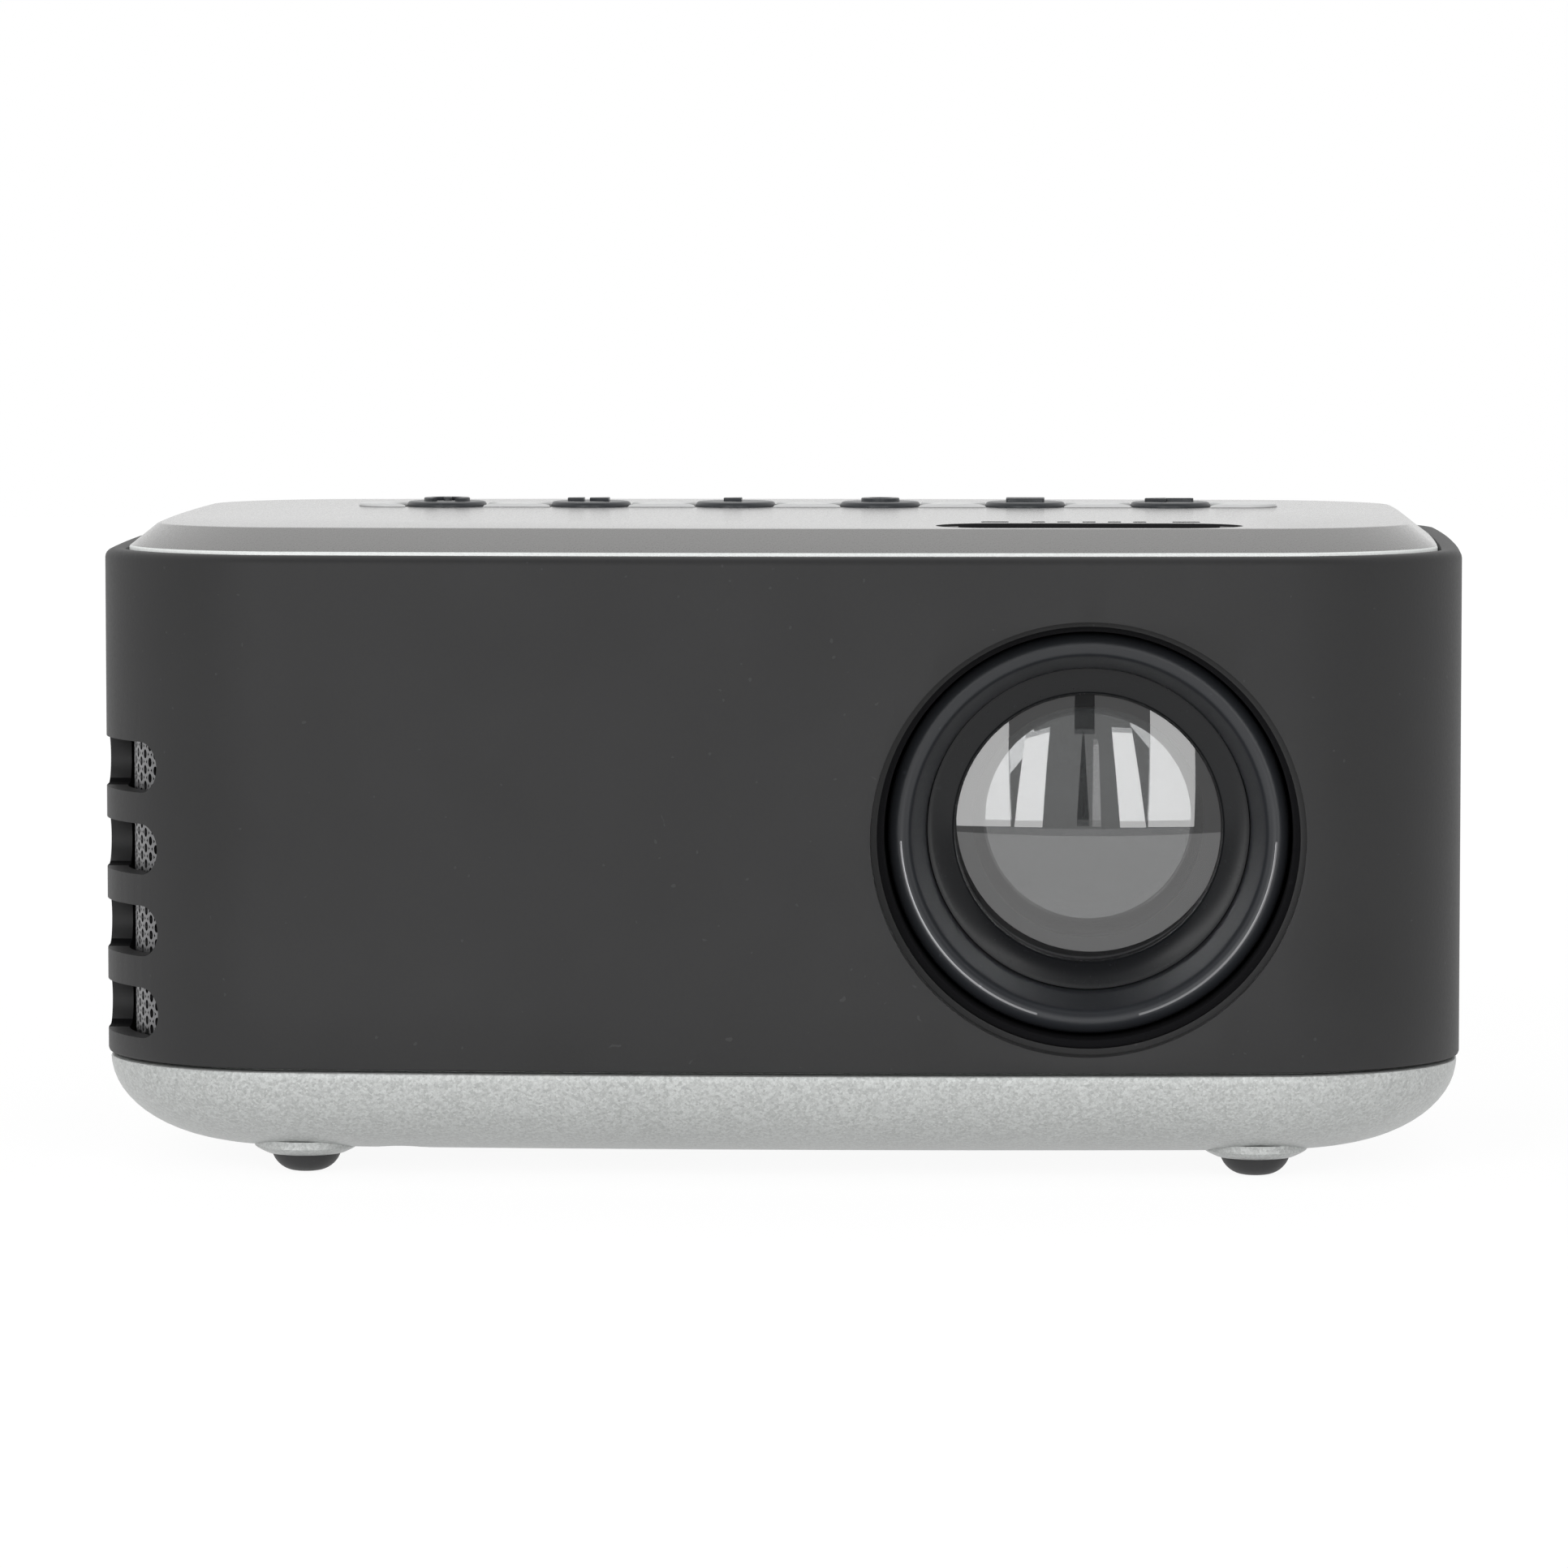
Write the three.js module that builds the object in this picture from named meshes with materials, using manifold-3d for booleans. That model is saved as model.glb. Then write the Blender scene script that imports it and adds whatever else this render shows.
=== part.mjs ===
// Mini projector with a silver tray and top cover, a black band round the body and a folded light engine.
// Millimetres, +Z up, the lens looks towards -Y. The origin is the middle of the footprint, on the surface
// that the rubber feet stand on.

import * as THREE from "three";
import { mergeVertices } from "three/addons/utils/BufferGeometryUtils.js";
import Module from "manifold-3d";

const wasm = await Module();
wasm.setup();

// Body outline, seen from above: a rounded rectangle whose sides bow outwards
const BODY_WIDTH = 135;
const BODY_DEPTH = 88;
const BODY_CORNER = 17.9;
const FRONT_BOW = 3;
const SIDE_BOW = 1.17;
const CORNER_STEPS = 6;
const FRONT_STEPS = 5;
const SIDE_STEPS = 3;

// Clearances shared by all pieces
const FIT_GAP = 0.3;
const FUSE = 0.4;
const OVERRUN = 1;

// Heights of the case
const TRAY_UNDERSIDE_Z = 2.3;
const SEAM_Z = 11.2;
const RIM_Z = 61.3;
const COVER_EDGE_Z = 61.9;
const COVER_RIDGE_Z = 63.85;
const TOP_FALL = 0.5;

// Black band
const BAND_WALL = 2.1;
const BAND_RIM_ROUND = 0.9;
const BAND_EDGE_ROUND = 0.4;
const RIM_ROUND_STEPS = 2;

// Silver tray
const TRAY_WALL = 1.6;
const TRAY_EDGE_INSET = 0.25;
const TRAY_ROUND_RUN = 14;
const TRAY_ROUND_STEPS = 6;
const TRAY_INSIDE_STEPS = 3;
const TONGUE_THICKNESS = 1;
const TONGUE_HEIGHT = 1.2;
const FOOT_FROM_SIDE = 20.7;
const FOOT_FROM_END = 14;
const FOOT_BOSS_R = 5;
const FOOT_BOSS_DROP = 0.6;

// Silver top cover
const COVER_WALL = 2;
const COVER_BEVEL_RUN = 3.8;
const COVER_SKIRT_DEPTH = 5;

// Rubber feet
const FOOT_R = 3.4;
const FOOT_FLAT_R = 1.9;
const FOOT_DOME_SIDE = 0.55;
const FOOT_STEM_R = 1.5;
const FOOT_STEM_LENGTH = 1.7;
const FOOT_STEPS = 2;

// Case screws and the posts that they go up. Each place is its distances from a side and from an end of the
// body, a negative side for the left and a negative end for the front.
const SCREW_CORNERS = [
  { side: -1, end: -1, fromSide: 30.5, fromEnd: 13 },
  { side: 1, end: -1, fromSide: 9.9, fromEnd: 30 },
  { side: 1, end: 1, fromSide: 12.5, fromEnd: 18 },
  { side: -1, end: 1, fromSide: 12.5, fromEnd: 13 },
];
const SCREW_R = 1;
const SCREW_HEAD_R = 2.2;
const SCREW_HEAD_HEIGHT = 1.6;
const SCREW_HEAD_RECESS = 1;
const SCREW_LENGTH = 19;
const SCREW_DRIVE_WIDTH = 0.6;
const SCREW_DRIVE_DEPTH = 0.8;
const POST_R = 2.8;
const TRAY_POST_R = 3.4;
const TRAY_POST_TOP_Z = 13.2;
const POST_BORE_DEPTH = 12;

// Vent slots round the left corners, and the wire mesh behind them
const VENT_COUNT = 4;
const VENT_LENGTH = 17.6;
const VENT_HEIGHT = 5;
const VENT_PITCH = 8.05;
const VENT_LOWEST_Z = 16.1;
const VENT_MIDDLE_RUN = 4.9;
const VENT_STEP = 3;
const VENT_OVERRUN = 2;
const VENT_END_STEPS = 3;
const MESH_THICKNESS = 0.6;
const MESH_HOLE_R = 0.85;
const MESH_PITCH = 2.9;
const MESH_MARGIN = 1.6;
const MESH_HOLE_SIDES = 4;

// Lens opening in the band. Stations along the lens axis are measured forward from the front of the body, so
// what lies behind it has a negative one.
const LENS_FROM_RIGHT = 37.16;
const LENS_Z = 34;
const LENS_HOLE_R = 21.07;
const LENS_LIP_R = 20.5;
const LENS_COLLAR_R = 23.2;
const LENS_HOLE_END = -3.4;
const LENS_COLLAR_BACK = -4.6;
const LENS_COLLAR_FRONT = -2.3;
const ROUND_STEPS = 32;

// Lens parts
const ENGINE_FACE = -31;
const SLEEVE_FRONT = -5.4;
const SLEEVE_R = 21.4;
const SLEEVE_WALL = 1.5;
const SLEEVE_SHOULDER_R = 23;
const SLEEVE_SHOULDER_FRONT = -23.9;
const SLEEVE_FLANGE = 46;
const SLEEVE_FLANGE_CORNER = 6;
const SLEEVE_FLANGE_THICKNESS = 2;
const CLIP_R = 24;
const CLIP_THICKNESS = 0.8;
const CLIP_GROOVE = 0.6;
const CLIP_MOUTH_DEG = 50;
const FOCUS_RANGE_DEG = 35;
const FOCUS_LEAD = 4;
const PIN_R = 1.5;
const PIN_REACH_R = 23;
const PIN_STATION = -19;
const PIN_COUNT = 3;
const PIN_SIDES = 10;
const PIN_CLEARANCE = 0.45;
const HELIX_STEPS = 5;
const WHEEL_R = 29.2;
const WHEEL_WIDTH = 6.4;
const WHEEL_STATION = -13.1;
const WHEEL_RIM = 2.2;
const WHEEL_WEB = 2.6;
const WHEEL_HUB_R = 25.4;
const WHEEL_HALF_DEG = 66;
const KNURL_DEPTH = 0.5;
const KNURL_PITCH_DEG = 6;
const BARREL_BACK = -27.8;
const BARREL_FRONT = -7.8;
const BARREL_LAND = 3;
const BARREL_FRONT_LAND = 5.2;
const BARREL_RELIEF = 1.6;
const BARREL_LIP = 0.6;
const FUNNEL_END = -14.3;
const RING_BORE_R = 15.9;
const RING_SEAT = -16.6;
const FRONT_LENS_R = 14.8;
const FRONT_LENS_EDGE_FRONT = -16.9;
const FRONT_LENS_EDGE_BACK = -19.4;
const FRONT_LENS_FRONT_BULGE = 3.1;
const FRONT_LENS_BACK_BULGE = 1.8;
const LENS_SEAT_RUN = 1.1;
const STOP_FRONT = -22.1;
const STOP_BACK = -23.3;
const STOP_R = 11.5;
const REAR_LENS_R = 12.3;
const REAR_LENS_EDGE = 2;
const REAR_LENS_BULGE = 1.2;
const RING_OPENING_R = 13.2;
const LENS_STEPS = 20;
const FRONT_FACE_STEPS = 3;
const BACK_FACE_STEPS = 4;

// Focus slot in the cover: a finger scoop round a straight opening
const SLOT_LENGTH = 30;
const SLOT_WIDTH = 11.6;
const SLOT_SCOOP_RUN = 2.1;
const SLOT_SCOOP_DEPTH = 1.3;
const SLOT_STEPS = 3;

// Keys, the raised strip between them and their circuit board
const KEY_COUNT = 6;
const KEY_PITCH = 15.1;
const KEY_ROW_X = 1.1;
const KEY_ROW_FROM_BACK = 26;
const KEY_R = 4.15;
const KEY_RISE = 0.7;
const KEY_ROUND = 0.35;
const KEY_HOLE_R = 4.6;
const KEY_WELL_RUN = 1.2;
const KEY_WELL_DEPTH = 0.4;
const KEY_FLANGE_R = 5.2;
const KEY_FLANGE = 0.9;
const KEY_STEM_R = 1.5;
const KEY_STEM_LENGTH = 1.1;
const KEY_STEPS = 16;
const KEY_TRAVEL = 0.5;
const ICON_RISE = 0.4;
const ICON_LINE = 0.8;
const ICON_R = 2.4;
const ICON_BARS_WIDTH = 4;
const ICON_BARS_PITCH = 1.3;
const ICON_SWEEP_DEG = 144;
const ARROW_SIZES = [1.04, 1.12, 1.2];
const STRIP_END_MARGIN = 19.65;
const STRIP_WIDTH = 7;
const STRIP_X = 2.05;
const STRIP_RISE = 0.55;
const STRIP_BEVEL = 0.35;
const KEY_BOARD_LENGTH = 90;
const KEY_BOARD_WIDTH = 11;
const KEY_BOARD_CORNER = 1.5;
const BOARD_THICKNESS = 1.6;
const SWITCH_SIZE = 6;
const SWITCH_HEIGHT = 2.1;
const SWITCH_PLUNGER_R = 1.6;
const SWITCH_PLUNGER = 1.3;
const KEY_POST_R = 1.7;

// Light engine: a case that the light crosses from left to right before a mirror turns it to the lens
const ENGINE_HALF_WIDTH = 22.1;
const ENGINE_HALF_THROAT = 14;
const ENGINE_FROM_LEFT = 22.9;
const ENGINE_FROM_RIGHT = 13.5;
const TAPER_SHARE = 0.1684;
const ENGINE_BOTTOM_Z = 16;
const ENGINE_TOP_Z = 50.4;
const ENGINE_WALL = 1.8;
const ENGINE_LID = 1.6;
const LID_STEP = 1.2;
const LED_WINDOW_R = 9;
const LENS_WINDOW_R = 15.5;
const PLATE_RIB = 1.2;
const PLATE_RIB_RISE = 2.6;
const PANEL_SHARE = 0.3306;
const PANEL_THICKNESS = 2.6;
const FRESNEL_SPACING_SHARE = 0.1014;
const FRESNEL_THICKNESS = 2;
const CONDENSER_R = 13.2;
const CONDENSER_EDGE = 1.6;
const CONDENSER_BULGE = 4;
const CONDENSER_SHARE = 0.1176;
const CONDENSER_OPENING_R = 12;
const MIRROR_LENGTH = 46;
const MIRROR_THICKNESS = 1.5;

// Lamp, heat sink and fan
const LED_BOARD_SIZE = 22;
const LED_BOARD_THICKNESS = 0.8;
const LED_DOME_R = 3;
const LED_DOME_RISE = 1;
const SINK_BASE = 2.5;
const SINK_FROM_LEFT = 4.5;
const SINK_WIDTH = 16;
const SINK_LENGTH = 31;
const SINK_HEIGHT = 36;
const SINK_FINS = 9;
const SINK_FIN = 1.2;
const FAN_FROM_LEFT = 24.5;
const FAN_FROM_FRONT = 25;
const FAN_SIZE = 40;
const FAN_DEPTH = 10;
const FAN_CORNER = 3;
const FAN_BORE_R = 18.6;
const FAN_HOLE_R = 1.7;
const FAN_HOLE_SPACING = 32;
const FAN_MOTOR_R = 10.2;
const FAN_STRUT = 2;
const FAN_STRUT_THICKNESS = 1.4;
const FAN_STRUTS = 3;
const BLADE_COUNT = 7;
const BLADE_HUB_R = 9.8;
const BLADE_ROOT_R = 8.2;
const BLADE_TIP_R = 17.7;
const BLADE_CHORD = 7.6;
const BLADE_THICKNESS = 0.9;
const BLADE_ROOT_PITCH_DEG = 44;
const BLADE_TIP_PITCH_DEG = 30;
const BLADE_CAMBER = 0.8;
const BLADE_SECTIONS = 3;
const BLADE_CHORD_SHARES = [-0.5, 0, 0.5];
const ROTOR_LENGTH = 7.2;

// Main board and the sockets on the back
const BOARD_Z = 11.6;
const BOARD_EDGE_INSET = 4.6;
const BOARD_FROM_FRONT = 35.5;
const BOARD_FROM_LEFT = 23.5;
const BOARD_FROM_RIGHT = 16.5;
const BOARD_TAIL_STEP = 2;
const BOARD_TAIL_FROM_BACK = 14.5;
const BOARD_POST_R = 2.6;
const BOARD_POST_FROM_LEFT = 29.5;
const BOARD_POST_FROM_RIGHT = 21.5;
const BOARD_POST_FROM_FRONT = 40.5;
const BOARD_POST_X = 12;
const BOARD_POST_FROM_BACK = 11.5;
const ENGINE_POST_R = 2.2;
const ENGINE_POST_ROWS_FROM_FRONT = [33.3, 72];
const ENGINE_POST_SHARES = [0.2039, 0.4929];
const SOCKET_SETBACK = 3.3;
const SOCKET_WINDOW_GAP = 0.5;
const HDMI = { fromRight: 43, width: 15, height: 5.6, depth: 12, shell: 0.6, tongue: 1.6 };
const USB = { fromRight: 26, width: 13.6, height: 6.2, depth: 13, shell: 0.6, tongue: 1.9 };
const AUDIO = { fromLeft: 43.5, width: 6.6, height: 5.4, depth: 8.6, bore: 1.8, nose: 3 };
const POWER = { fromLeft: 29, width: 9, height: 10.6, depth: 11, bore: 3.2, pin: 1 };
const SOCKET_BORE_DEPTH_SHARE = 0.8;
const SOCKET_STEPS = 12;
const CHIP_SIZE = 14;
const CHIP_HEIGHT = 1.5;
const MEMORY_LENGTH = 10.5;
const MEMORY_WIDTH = 8.4;
const MEMORY_HEIGHT = 0.8;
const MEMORY_GAP = 7;
const COIL_COUNT = 3;
const COIL_R = 3.5;
const COIL_PITCH = 10.5;
const COIL_HEIGHT = 2;

// Receiver window on the back
const WINDOW_X = 0;
const WINDOW_Z = 32;
const WINDOW_WIDTH = 9;
const WINDOW_HEIGHT = 5;
const WINDOW_CORNER = 1.5;
const WINDOW_FLANGE = 1;
const WINDOW_FLANGE_THICKNESS = 1;

// Speaker and the openings in the tray floor
const SPEAKER_FROM_LEFT = 53.5;
const SPEAKER_FROM_FRONT = 23;
const SPEAKER_R = 10.5;
const SPEAKER_BASKET_Z = 2.2;
const SPEAKER_MAGNET_R = 6;
const SPEAKER_SEAT_RISE = 0.8;
const SPEAKER_SEAT_WIDTH = 1.2;
const SPEAKER_MAGNET = 3.6;
const SPEAKER_RIM = 1.5;
const SOUND_HOLE_R = 1.2;
const SOUND_HOLE_PITCH = 4.8;
const SOUND_HOLE_COUNT = 6;
const SOUND_HOLE_SIDES = 8;
const INTAKE_COUNT = 5;
const INTAKE_LENGTH = 22;
const INTAKE_WIDTH = 2;
const INTAKE_PITCH = 4.4;
const INTAKE_X = -30;
const INTAKE_Y = 10;
const CRADLE_WALL = 1.6;
const CRADLE_RISE = 1.6;

// Threaded tripod insert
const INSERT_X = 8;
const INSERT_Y = 2;
const INSERT_R = 4.6;
const INSERT_BORE_R = 3;
const INSERT_LENGTH = 6.5;
const INSERT_BOSS_WALL = 1.8;
const INSERT_STEPS = 20;

// Places that follow from the body's outline
const LEFT_X = -BODY_WIDTH / 2;
const RIGHT_X = BODY_WIDTH / 2;
const FRONT_Y = -BODY_DEPTH / 2;
const BACK_Y = BODY_DEPTH / 2;
const FOOT_X = RIGHT_X - FOOT_FROM_SIDE;
const FOOT_Y = BACK_Y - FOOT_FROM_END;
const SCREW_PLACES = SCREW_CORNERS.map(({ side, end, fromSide, fromEnd }) =>
  [side * (RIGHT_X - fromSide), end * (BACK_Y - fromEnd)]);
const LENS_X = RIGHT_X - LENS_FROM_RIGHT;
const KEY_ROW_Y = BACK_Y - KEY_ROW_FROM_BACK;
const STRIP_LENGTH = BODY_WIDTH - 2 * STRIP_END_MARGIN;
const ENGINE_LEFT = LEFT_X + ENGINE_FROM_LEFT;
const ENGINE_RIGHT = RIGHT_X - ENGINE_FROM_RIGHT;
const ENGINE_TAPER_END = alongEngine(TAPER_SHARE);
const PANEL_X = alongEngine(PANEL_SHARE);
const CONDENSER_X = alongEngine(CONDENSER_SHARE);
const SINK_LEFT = LEFT_X + SINK_FROM_LEFT;
const SINK_RIGHT = SINK_LEFT + SINK_WIDTH;
const FAN_X = LEFT_X + FAN_FROM_LEFT;
const FAN_Y = FRONT_Y + FAN_FROM_FRONT;
const BOARD_FRONT_Y = FRONT_Y + BOARD_FROM_FRONT;
const BOARD_LEFT_X = LEFT_X + BOARD_FROM_LEFT;
const BOARD_RIGHT_X = RIGHT_X - BOARD_FROM_RIGHT;
const BOARD_TAIL_X = BOARD_LEFT_X - BOARD_TAIL_STEP;
const BOARD_TAIL_Y = BACK_Y - BOARD_TAIL_FROM_BACK;
const BOARD_POST_PLACES = [
  [LEFT_X + BOARD_POST_FROM_LEFT, FRONT_Y + BOARD_POST_FROM_FRONT],
  [RIGHT_X - BOARD_POST_FROM_RIGHT, FRONT_Y + BOARD_POST_FROM_FRONT],
  [-BOARD_POST_X, BACK_Y - BOARD_POST_FROM_BACK],
  [BOARD_POST_X, BACK_Y - BOARD_POST_FROM_BACK],
];
const ENGINE_POST_PLACES = ENGINE_POST_ROWS_FROM_FRONT.flatMap((row) =>
  ENGINE_POST_SHARES.map((share) => [alongEngine(share), FRONT_Y + row]));
const SOCKET_FACE_Y = BACK_Y - SOCKET_SETBACK;
const SPEAKER_X = LEFT_X + SPEAKER_FROM_LEFT;
const SPEAKER_Y = FRONT_Y + SPEAKER_FROM_FRONT;

// Heights that follow from the ones above
const FOOT_BOSS_Z = TRAY_UNDERSIDE_Z - FOOT_BOSS_DROP;
const TRAY_TOP_Z = SEAM_Z - FIT_GAP / 2;
const TRAY_FLOOR_Z = TRAY_UNDERSIDE_Z + TRAY_WALL;
const BAND_BOTTOM_Z = SEAM_Z + FIT_GAP / 2;
const TONGUE_TOP_Z = TRAY_TOP_Z + TONGUE_HEIGHT;
const SKIRT_BOTTOM_Z = RIM_Z - COVER_SKIRT_DEPTH;
const COVER_INSET = BAND_WALL + FIT_GAP;
const RIDGE_INSET = COVER_INSET + COVER_BEVEL_RUN;
const ENGINE_Y = FRONT_Y - ENGINE_FACE + ENGINE_HALF_WIDTH;
const KEY_ROW_TOP_Z = topHeight(KEY_ROW_Y);
const KEY_FLANGE_TOP_Z = KEY_ROW_TOP_Z - COVER_WALL - FIT_GAP;
const KEY_STEM_BOTTOM_Z = KEY_FLANGE_TOP_Z - KEY_FLANGE - KEY_STEM_LENGTH;
const PLUNGER_TOP_Z = KEY_STEM_BOTTOM_Z - KEY_TRAVEL - FIT_GAP;
const KEY_BOARD_TOP_Z = PLUNGER_TOP_Z - SWITCH_PLUNGER - SWITCH_HEIGHT;
const SLEEVE_BORE_R = SLEEVE_R - SLEEVE_WALL;
const BARREL_R = SLEEVE_BORE_R - FIT_GAP;
const WHEEL_BORE_R = SLEEVE_R + FIT_GAP;
const WHEEL_FRONT = WHEEL_STATION + WHEEL_WIDTH / 2;
const WHEEL_HUB_BACK = SLEEVE_SHOULDER_FRONT + FIT_GAP;
const CLIP_BACK = WHEEL_FRONT + FIT_GAP;
const FOCUS_TRAVEL = THREE.MathUtils.degToRad(FOCUS_RANGE_DEG) * FOCUS_LEAD;
const SLOT_Y = FRONT_Y - WHEEL_STATION;
const BOARD_TOP_Z = BOARD_Z + BOARD_THICKNESS;

// Place along the light engine, as a share of its length from the lamp's end
function alongEngine(share) {
  return ENGINE_LEFT + (ENGINE_RIGHT - ENGINE_LEFT) * share;
}

// Middle of a socket, from its distance to the nearer side of the body
function socketX({ fromLeft, fromRight }) {
  return fromLeft === undefined ? RIGHT_X - fromRight : LEFT_X + fromLeft;
}

// Height of the top surface at a depth y: it falls gently from the front ridge to the back
function topHeight(y) {
  return COVER_RIDGE_Z - TOP_FALL * (y / BODY_DEPTH + 0.5);
}

// Geometry helpers

function outward(geometry) {
  const place = geometry.attributes.position;
  const index = geometry.index;
  const [a, b, c] = [new THREE.Vector3(), new THREE.Vector3(), new THREE.Vector3()];
  let volume = 0;
  for (let i = 0; i < index.count; i += 3) {
    a.fromBufferAttribute(place, index.getX(i));
    b.fromBufferAttribute(place, index.getX(i + 1));
    c.fromBufferAttribute(place, index.getX(i + 2));
    volume += a.dot(b.cross(c));
  }
  if (volume < 0) index.array.reverse();
  return geometry;
}

function plain(geometry) {
  const bare = geometry.clone();
  bare.deleteAttribute("normal");
  bare.deleteAttribute("uv");
  return mergeVertices(bare);
}

function toSolid(geometry) {
  const merged = outward(plain(geometry));
  return new wasm.Manifold(new wasm.Mesh({
    numProp: 3,
    vertProperties: merged.attributes.position.array,
    triVerts: new Uint32Array(merged.index.array),
  }));
}

function toGeometry(solid) {
  const mesh = solid.getMesh();
  const geometry = new THREE.BufferGeometry();
  geometry.setAttribute("position", new THREE.BufferAttribute(new Float32Array(mesh.vertProperties), 3));
  geometry.setIndex(new THREE.BufferAttribute(new Uint32Array(mesh.triVerts), 1));
  return geometry;
}

function join(first, ...others) {
  return toGeometry(others.reduce((whole, other) => whole.add(toSolid(other)), toSolid(first)));
}

function cut(first, ...others) {
  return toGeometry(others.reduce((whole, other) => whole.subtract(toSolid(other)), toSolid(first)));
}

function common(first, second) {
  return toGeometry(toSolid(first).intersect(toSolid(second)));
}

// Joins rings of points, each with as many points as the next, into one closed skin
function skin(rings, closed = false) {
  const count = rings[0].length;
  const positions = rings.flat().flatMap((p) => [p.x, p.y, p.z]);
  const faces = [];
  const spans = closed ? rings.length : rings.length - 1;
  for (let r = 0; r < spans; r++) {
    const low = r * count;
    const high = ((r + 1) % rings.length) * count;
    for (let i = 0; i < count; i++) {
      const next = (i + 1) % count;
      faces.push(low + i, low + next, high + next, low + i, high + next, high + i);
    }
  }
  if (!closed) {
    [rings[0], rings[rings.length - 1]].forEach((ring, end) => {
      const middle = ring.reduce((sum, p) => sum.add(p), new THREE.Vector3()).divideScalar(count);
      const centre = positions.length / 3;
      const start = end ? (rings.length - 1) * count : 0;
      positions.push(middle.x, middle.y, middle.z);
      for (let i = 0; i < count; i++) {
        const next = (i + 1) % count;
        if (end) faces.push(centre, start + i, start + next);
        else faces.push(centre, start + next, start + i);
      }
    });
  }
  const geometry = new THREE.BufferGeometry();
  geometry.setAttribute("position", new THREE.Float32BufferAttribute(positions, 3));
  geometry.setIndex(faces);
  return outward(geometry);
}

// Turns a profile of [radius, z] points round the Z axis
function revolve(profile, steps = ROUND_STEPS) {
  const points = profile.map(([radius, z]) => new THREE.Vector2(radius, z));
  if (profile[0][0] > 0) points.push(points[0].clone());
  return new THREE.LatheGeometry(points, steps).rotateX(Math.PI / 2);
}

function disc(radius, low, high, steps) {
  return revolve([[0, low], [radius, low], [radius, high], [0, high]], steps);
}

function ring(inner, outer, low, high, steps) {
  return revolve([[inner, low], [outer, low], [outer, high], [inner, high]], steps);
}

function block(low, high) {
  const size = high.map((value, axis) => value - low[axis]);
  const middle = high.map((value, axis) => (value + low[axis]) / 2);
  return new THREE.BoxGeometry(...size).translate(...middle);
}

function extrude(shape, low, high) {
  const depth = high - low;
  return new THREE.ExtrudeGeometry(shape, { depth, bevelEnabled: false }).translate(0, 0, low);
}

function polygon(points) {
  return new THREE.Shape(points.map(([x, y]) => new THREE.Vector2(x, y)));
}

function roundedRectangle(width, height, radius, steps = SLOT_STEPS) {
  const [x, y] = [width / 2 - radius, height / 2 - radius];
  const quarter = Math.PI / 2;
  return polygon([
    ...arc(x, -y, radius, -quarter, 0, steps),
    ...arc(x, y, radius, 0, quarter, steps),
    ...arc(-x, y, radius, quarter, 2 * quarter, steps),
    ...arc(-x, -y, radius, 2 * quarter, 3 * quarter, steps),
  ]);
}

// A straight slot outline with round ends
function pill(length, width, steps = SLOT_STEPS) {
  const [x, radius] = [(length - width) / 2, width / 2];
  const quarter = Math.PI / 2;
  return polygon([
    ...arc(x, 0, radius, -quarter, quarter, 2 * steps),
    ...arc(-x, 0, radius, quarter, 3 * quarter, 2 * steps),
  ]);
}

function circle(radius, steps, x = 0, y = 0) {
  return polygon(arc(x, y, radius, 0, 2 * Math.PI, steps).slice(1));
}

// Sector of a ring, centred on the +Y direction
function sector(inner, outer, halfAngle, steps) {
  const at = (radius, k) => {
    const angle = Math.PI / 2 - halfAngle + (2 * halfAngle * k) / steps;
    return [radius * Math.cos(angle), radius * Math.sin(angle)];
  };
  const points = [];
  for (let k = 0; k <= steps; k++) points.push(at(typeof outer === "function" ? outer(k) : outer, k));
  for (let k = steps; k >= 0; k--) points.push(at(inner, k));
  return polygon(points);
}

function arc(x, z, radius, from, to, steps) {
  const points = [];
  for (let k = 0; k <= steps; k++) {
    const angle = from + ((to - from) * k) / steps;
    points.push([x + radius * Math.cos(angle), z + radius * Math.sin(angle)]);
  }
  return points;
}

// Body outline and the shells swept round it

function bowed(x, y) {
  const across = x / (BODY_WIDTH / 2);
  const along = y / (BODY_DEPTH / 2);
  return [x - SIDE_BOW * across * along ** 2, y - FRONT_BOW * along * across ** 2];
}

function bodyRing(inset, z, fall = 0) {
  const radius = BODY_CORNER - inset;
  const [x, y] = [BODY_WIDTH / 2 - BODY_CORNER, BODY_DEPTH / 2 - BODY_CORNER];
  const signs = [[1, -1], [1, 1], [-1, 1], [-1, -1]];
  const flat = signs.map(([sx, sy], corner) =>
    arc(sx * x, sy * y, radius, ((corner - 1) * Math.PI) / 2, (corner * Math.PI) / 2, CORNER_STEPS));
  const points = [];
  flat.forEach((corner, i) => {
    points.push(...corner);
    const [from, to] = [corner[CORNER_STEPS], flat[(i + 1) % flat.length][0]];
    const steps = i % 2 ? FRONT_STEPS : SIDE_STEPS;
    for (let k = 1; k < steps; k++) {
      points.push([from[0] + ((to[0] - from[0]) * k) / steps, from[1] + ((to[1] - from[1]) * k) / steps]);
    }
  });
  return points.map(([px, py]) => {
    const [bx, by] = bowed(px, py);
    return new THREE.Vector3(bx, by, z - fall * (by / BODY_DEPTH + 0.5));
  });
}

function bodyShell(profile, closed) {
  return skin(profile.map(([inset, z, fall]) => bodyRing(inset, z, fall)), closed);
}

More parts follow.
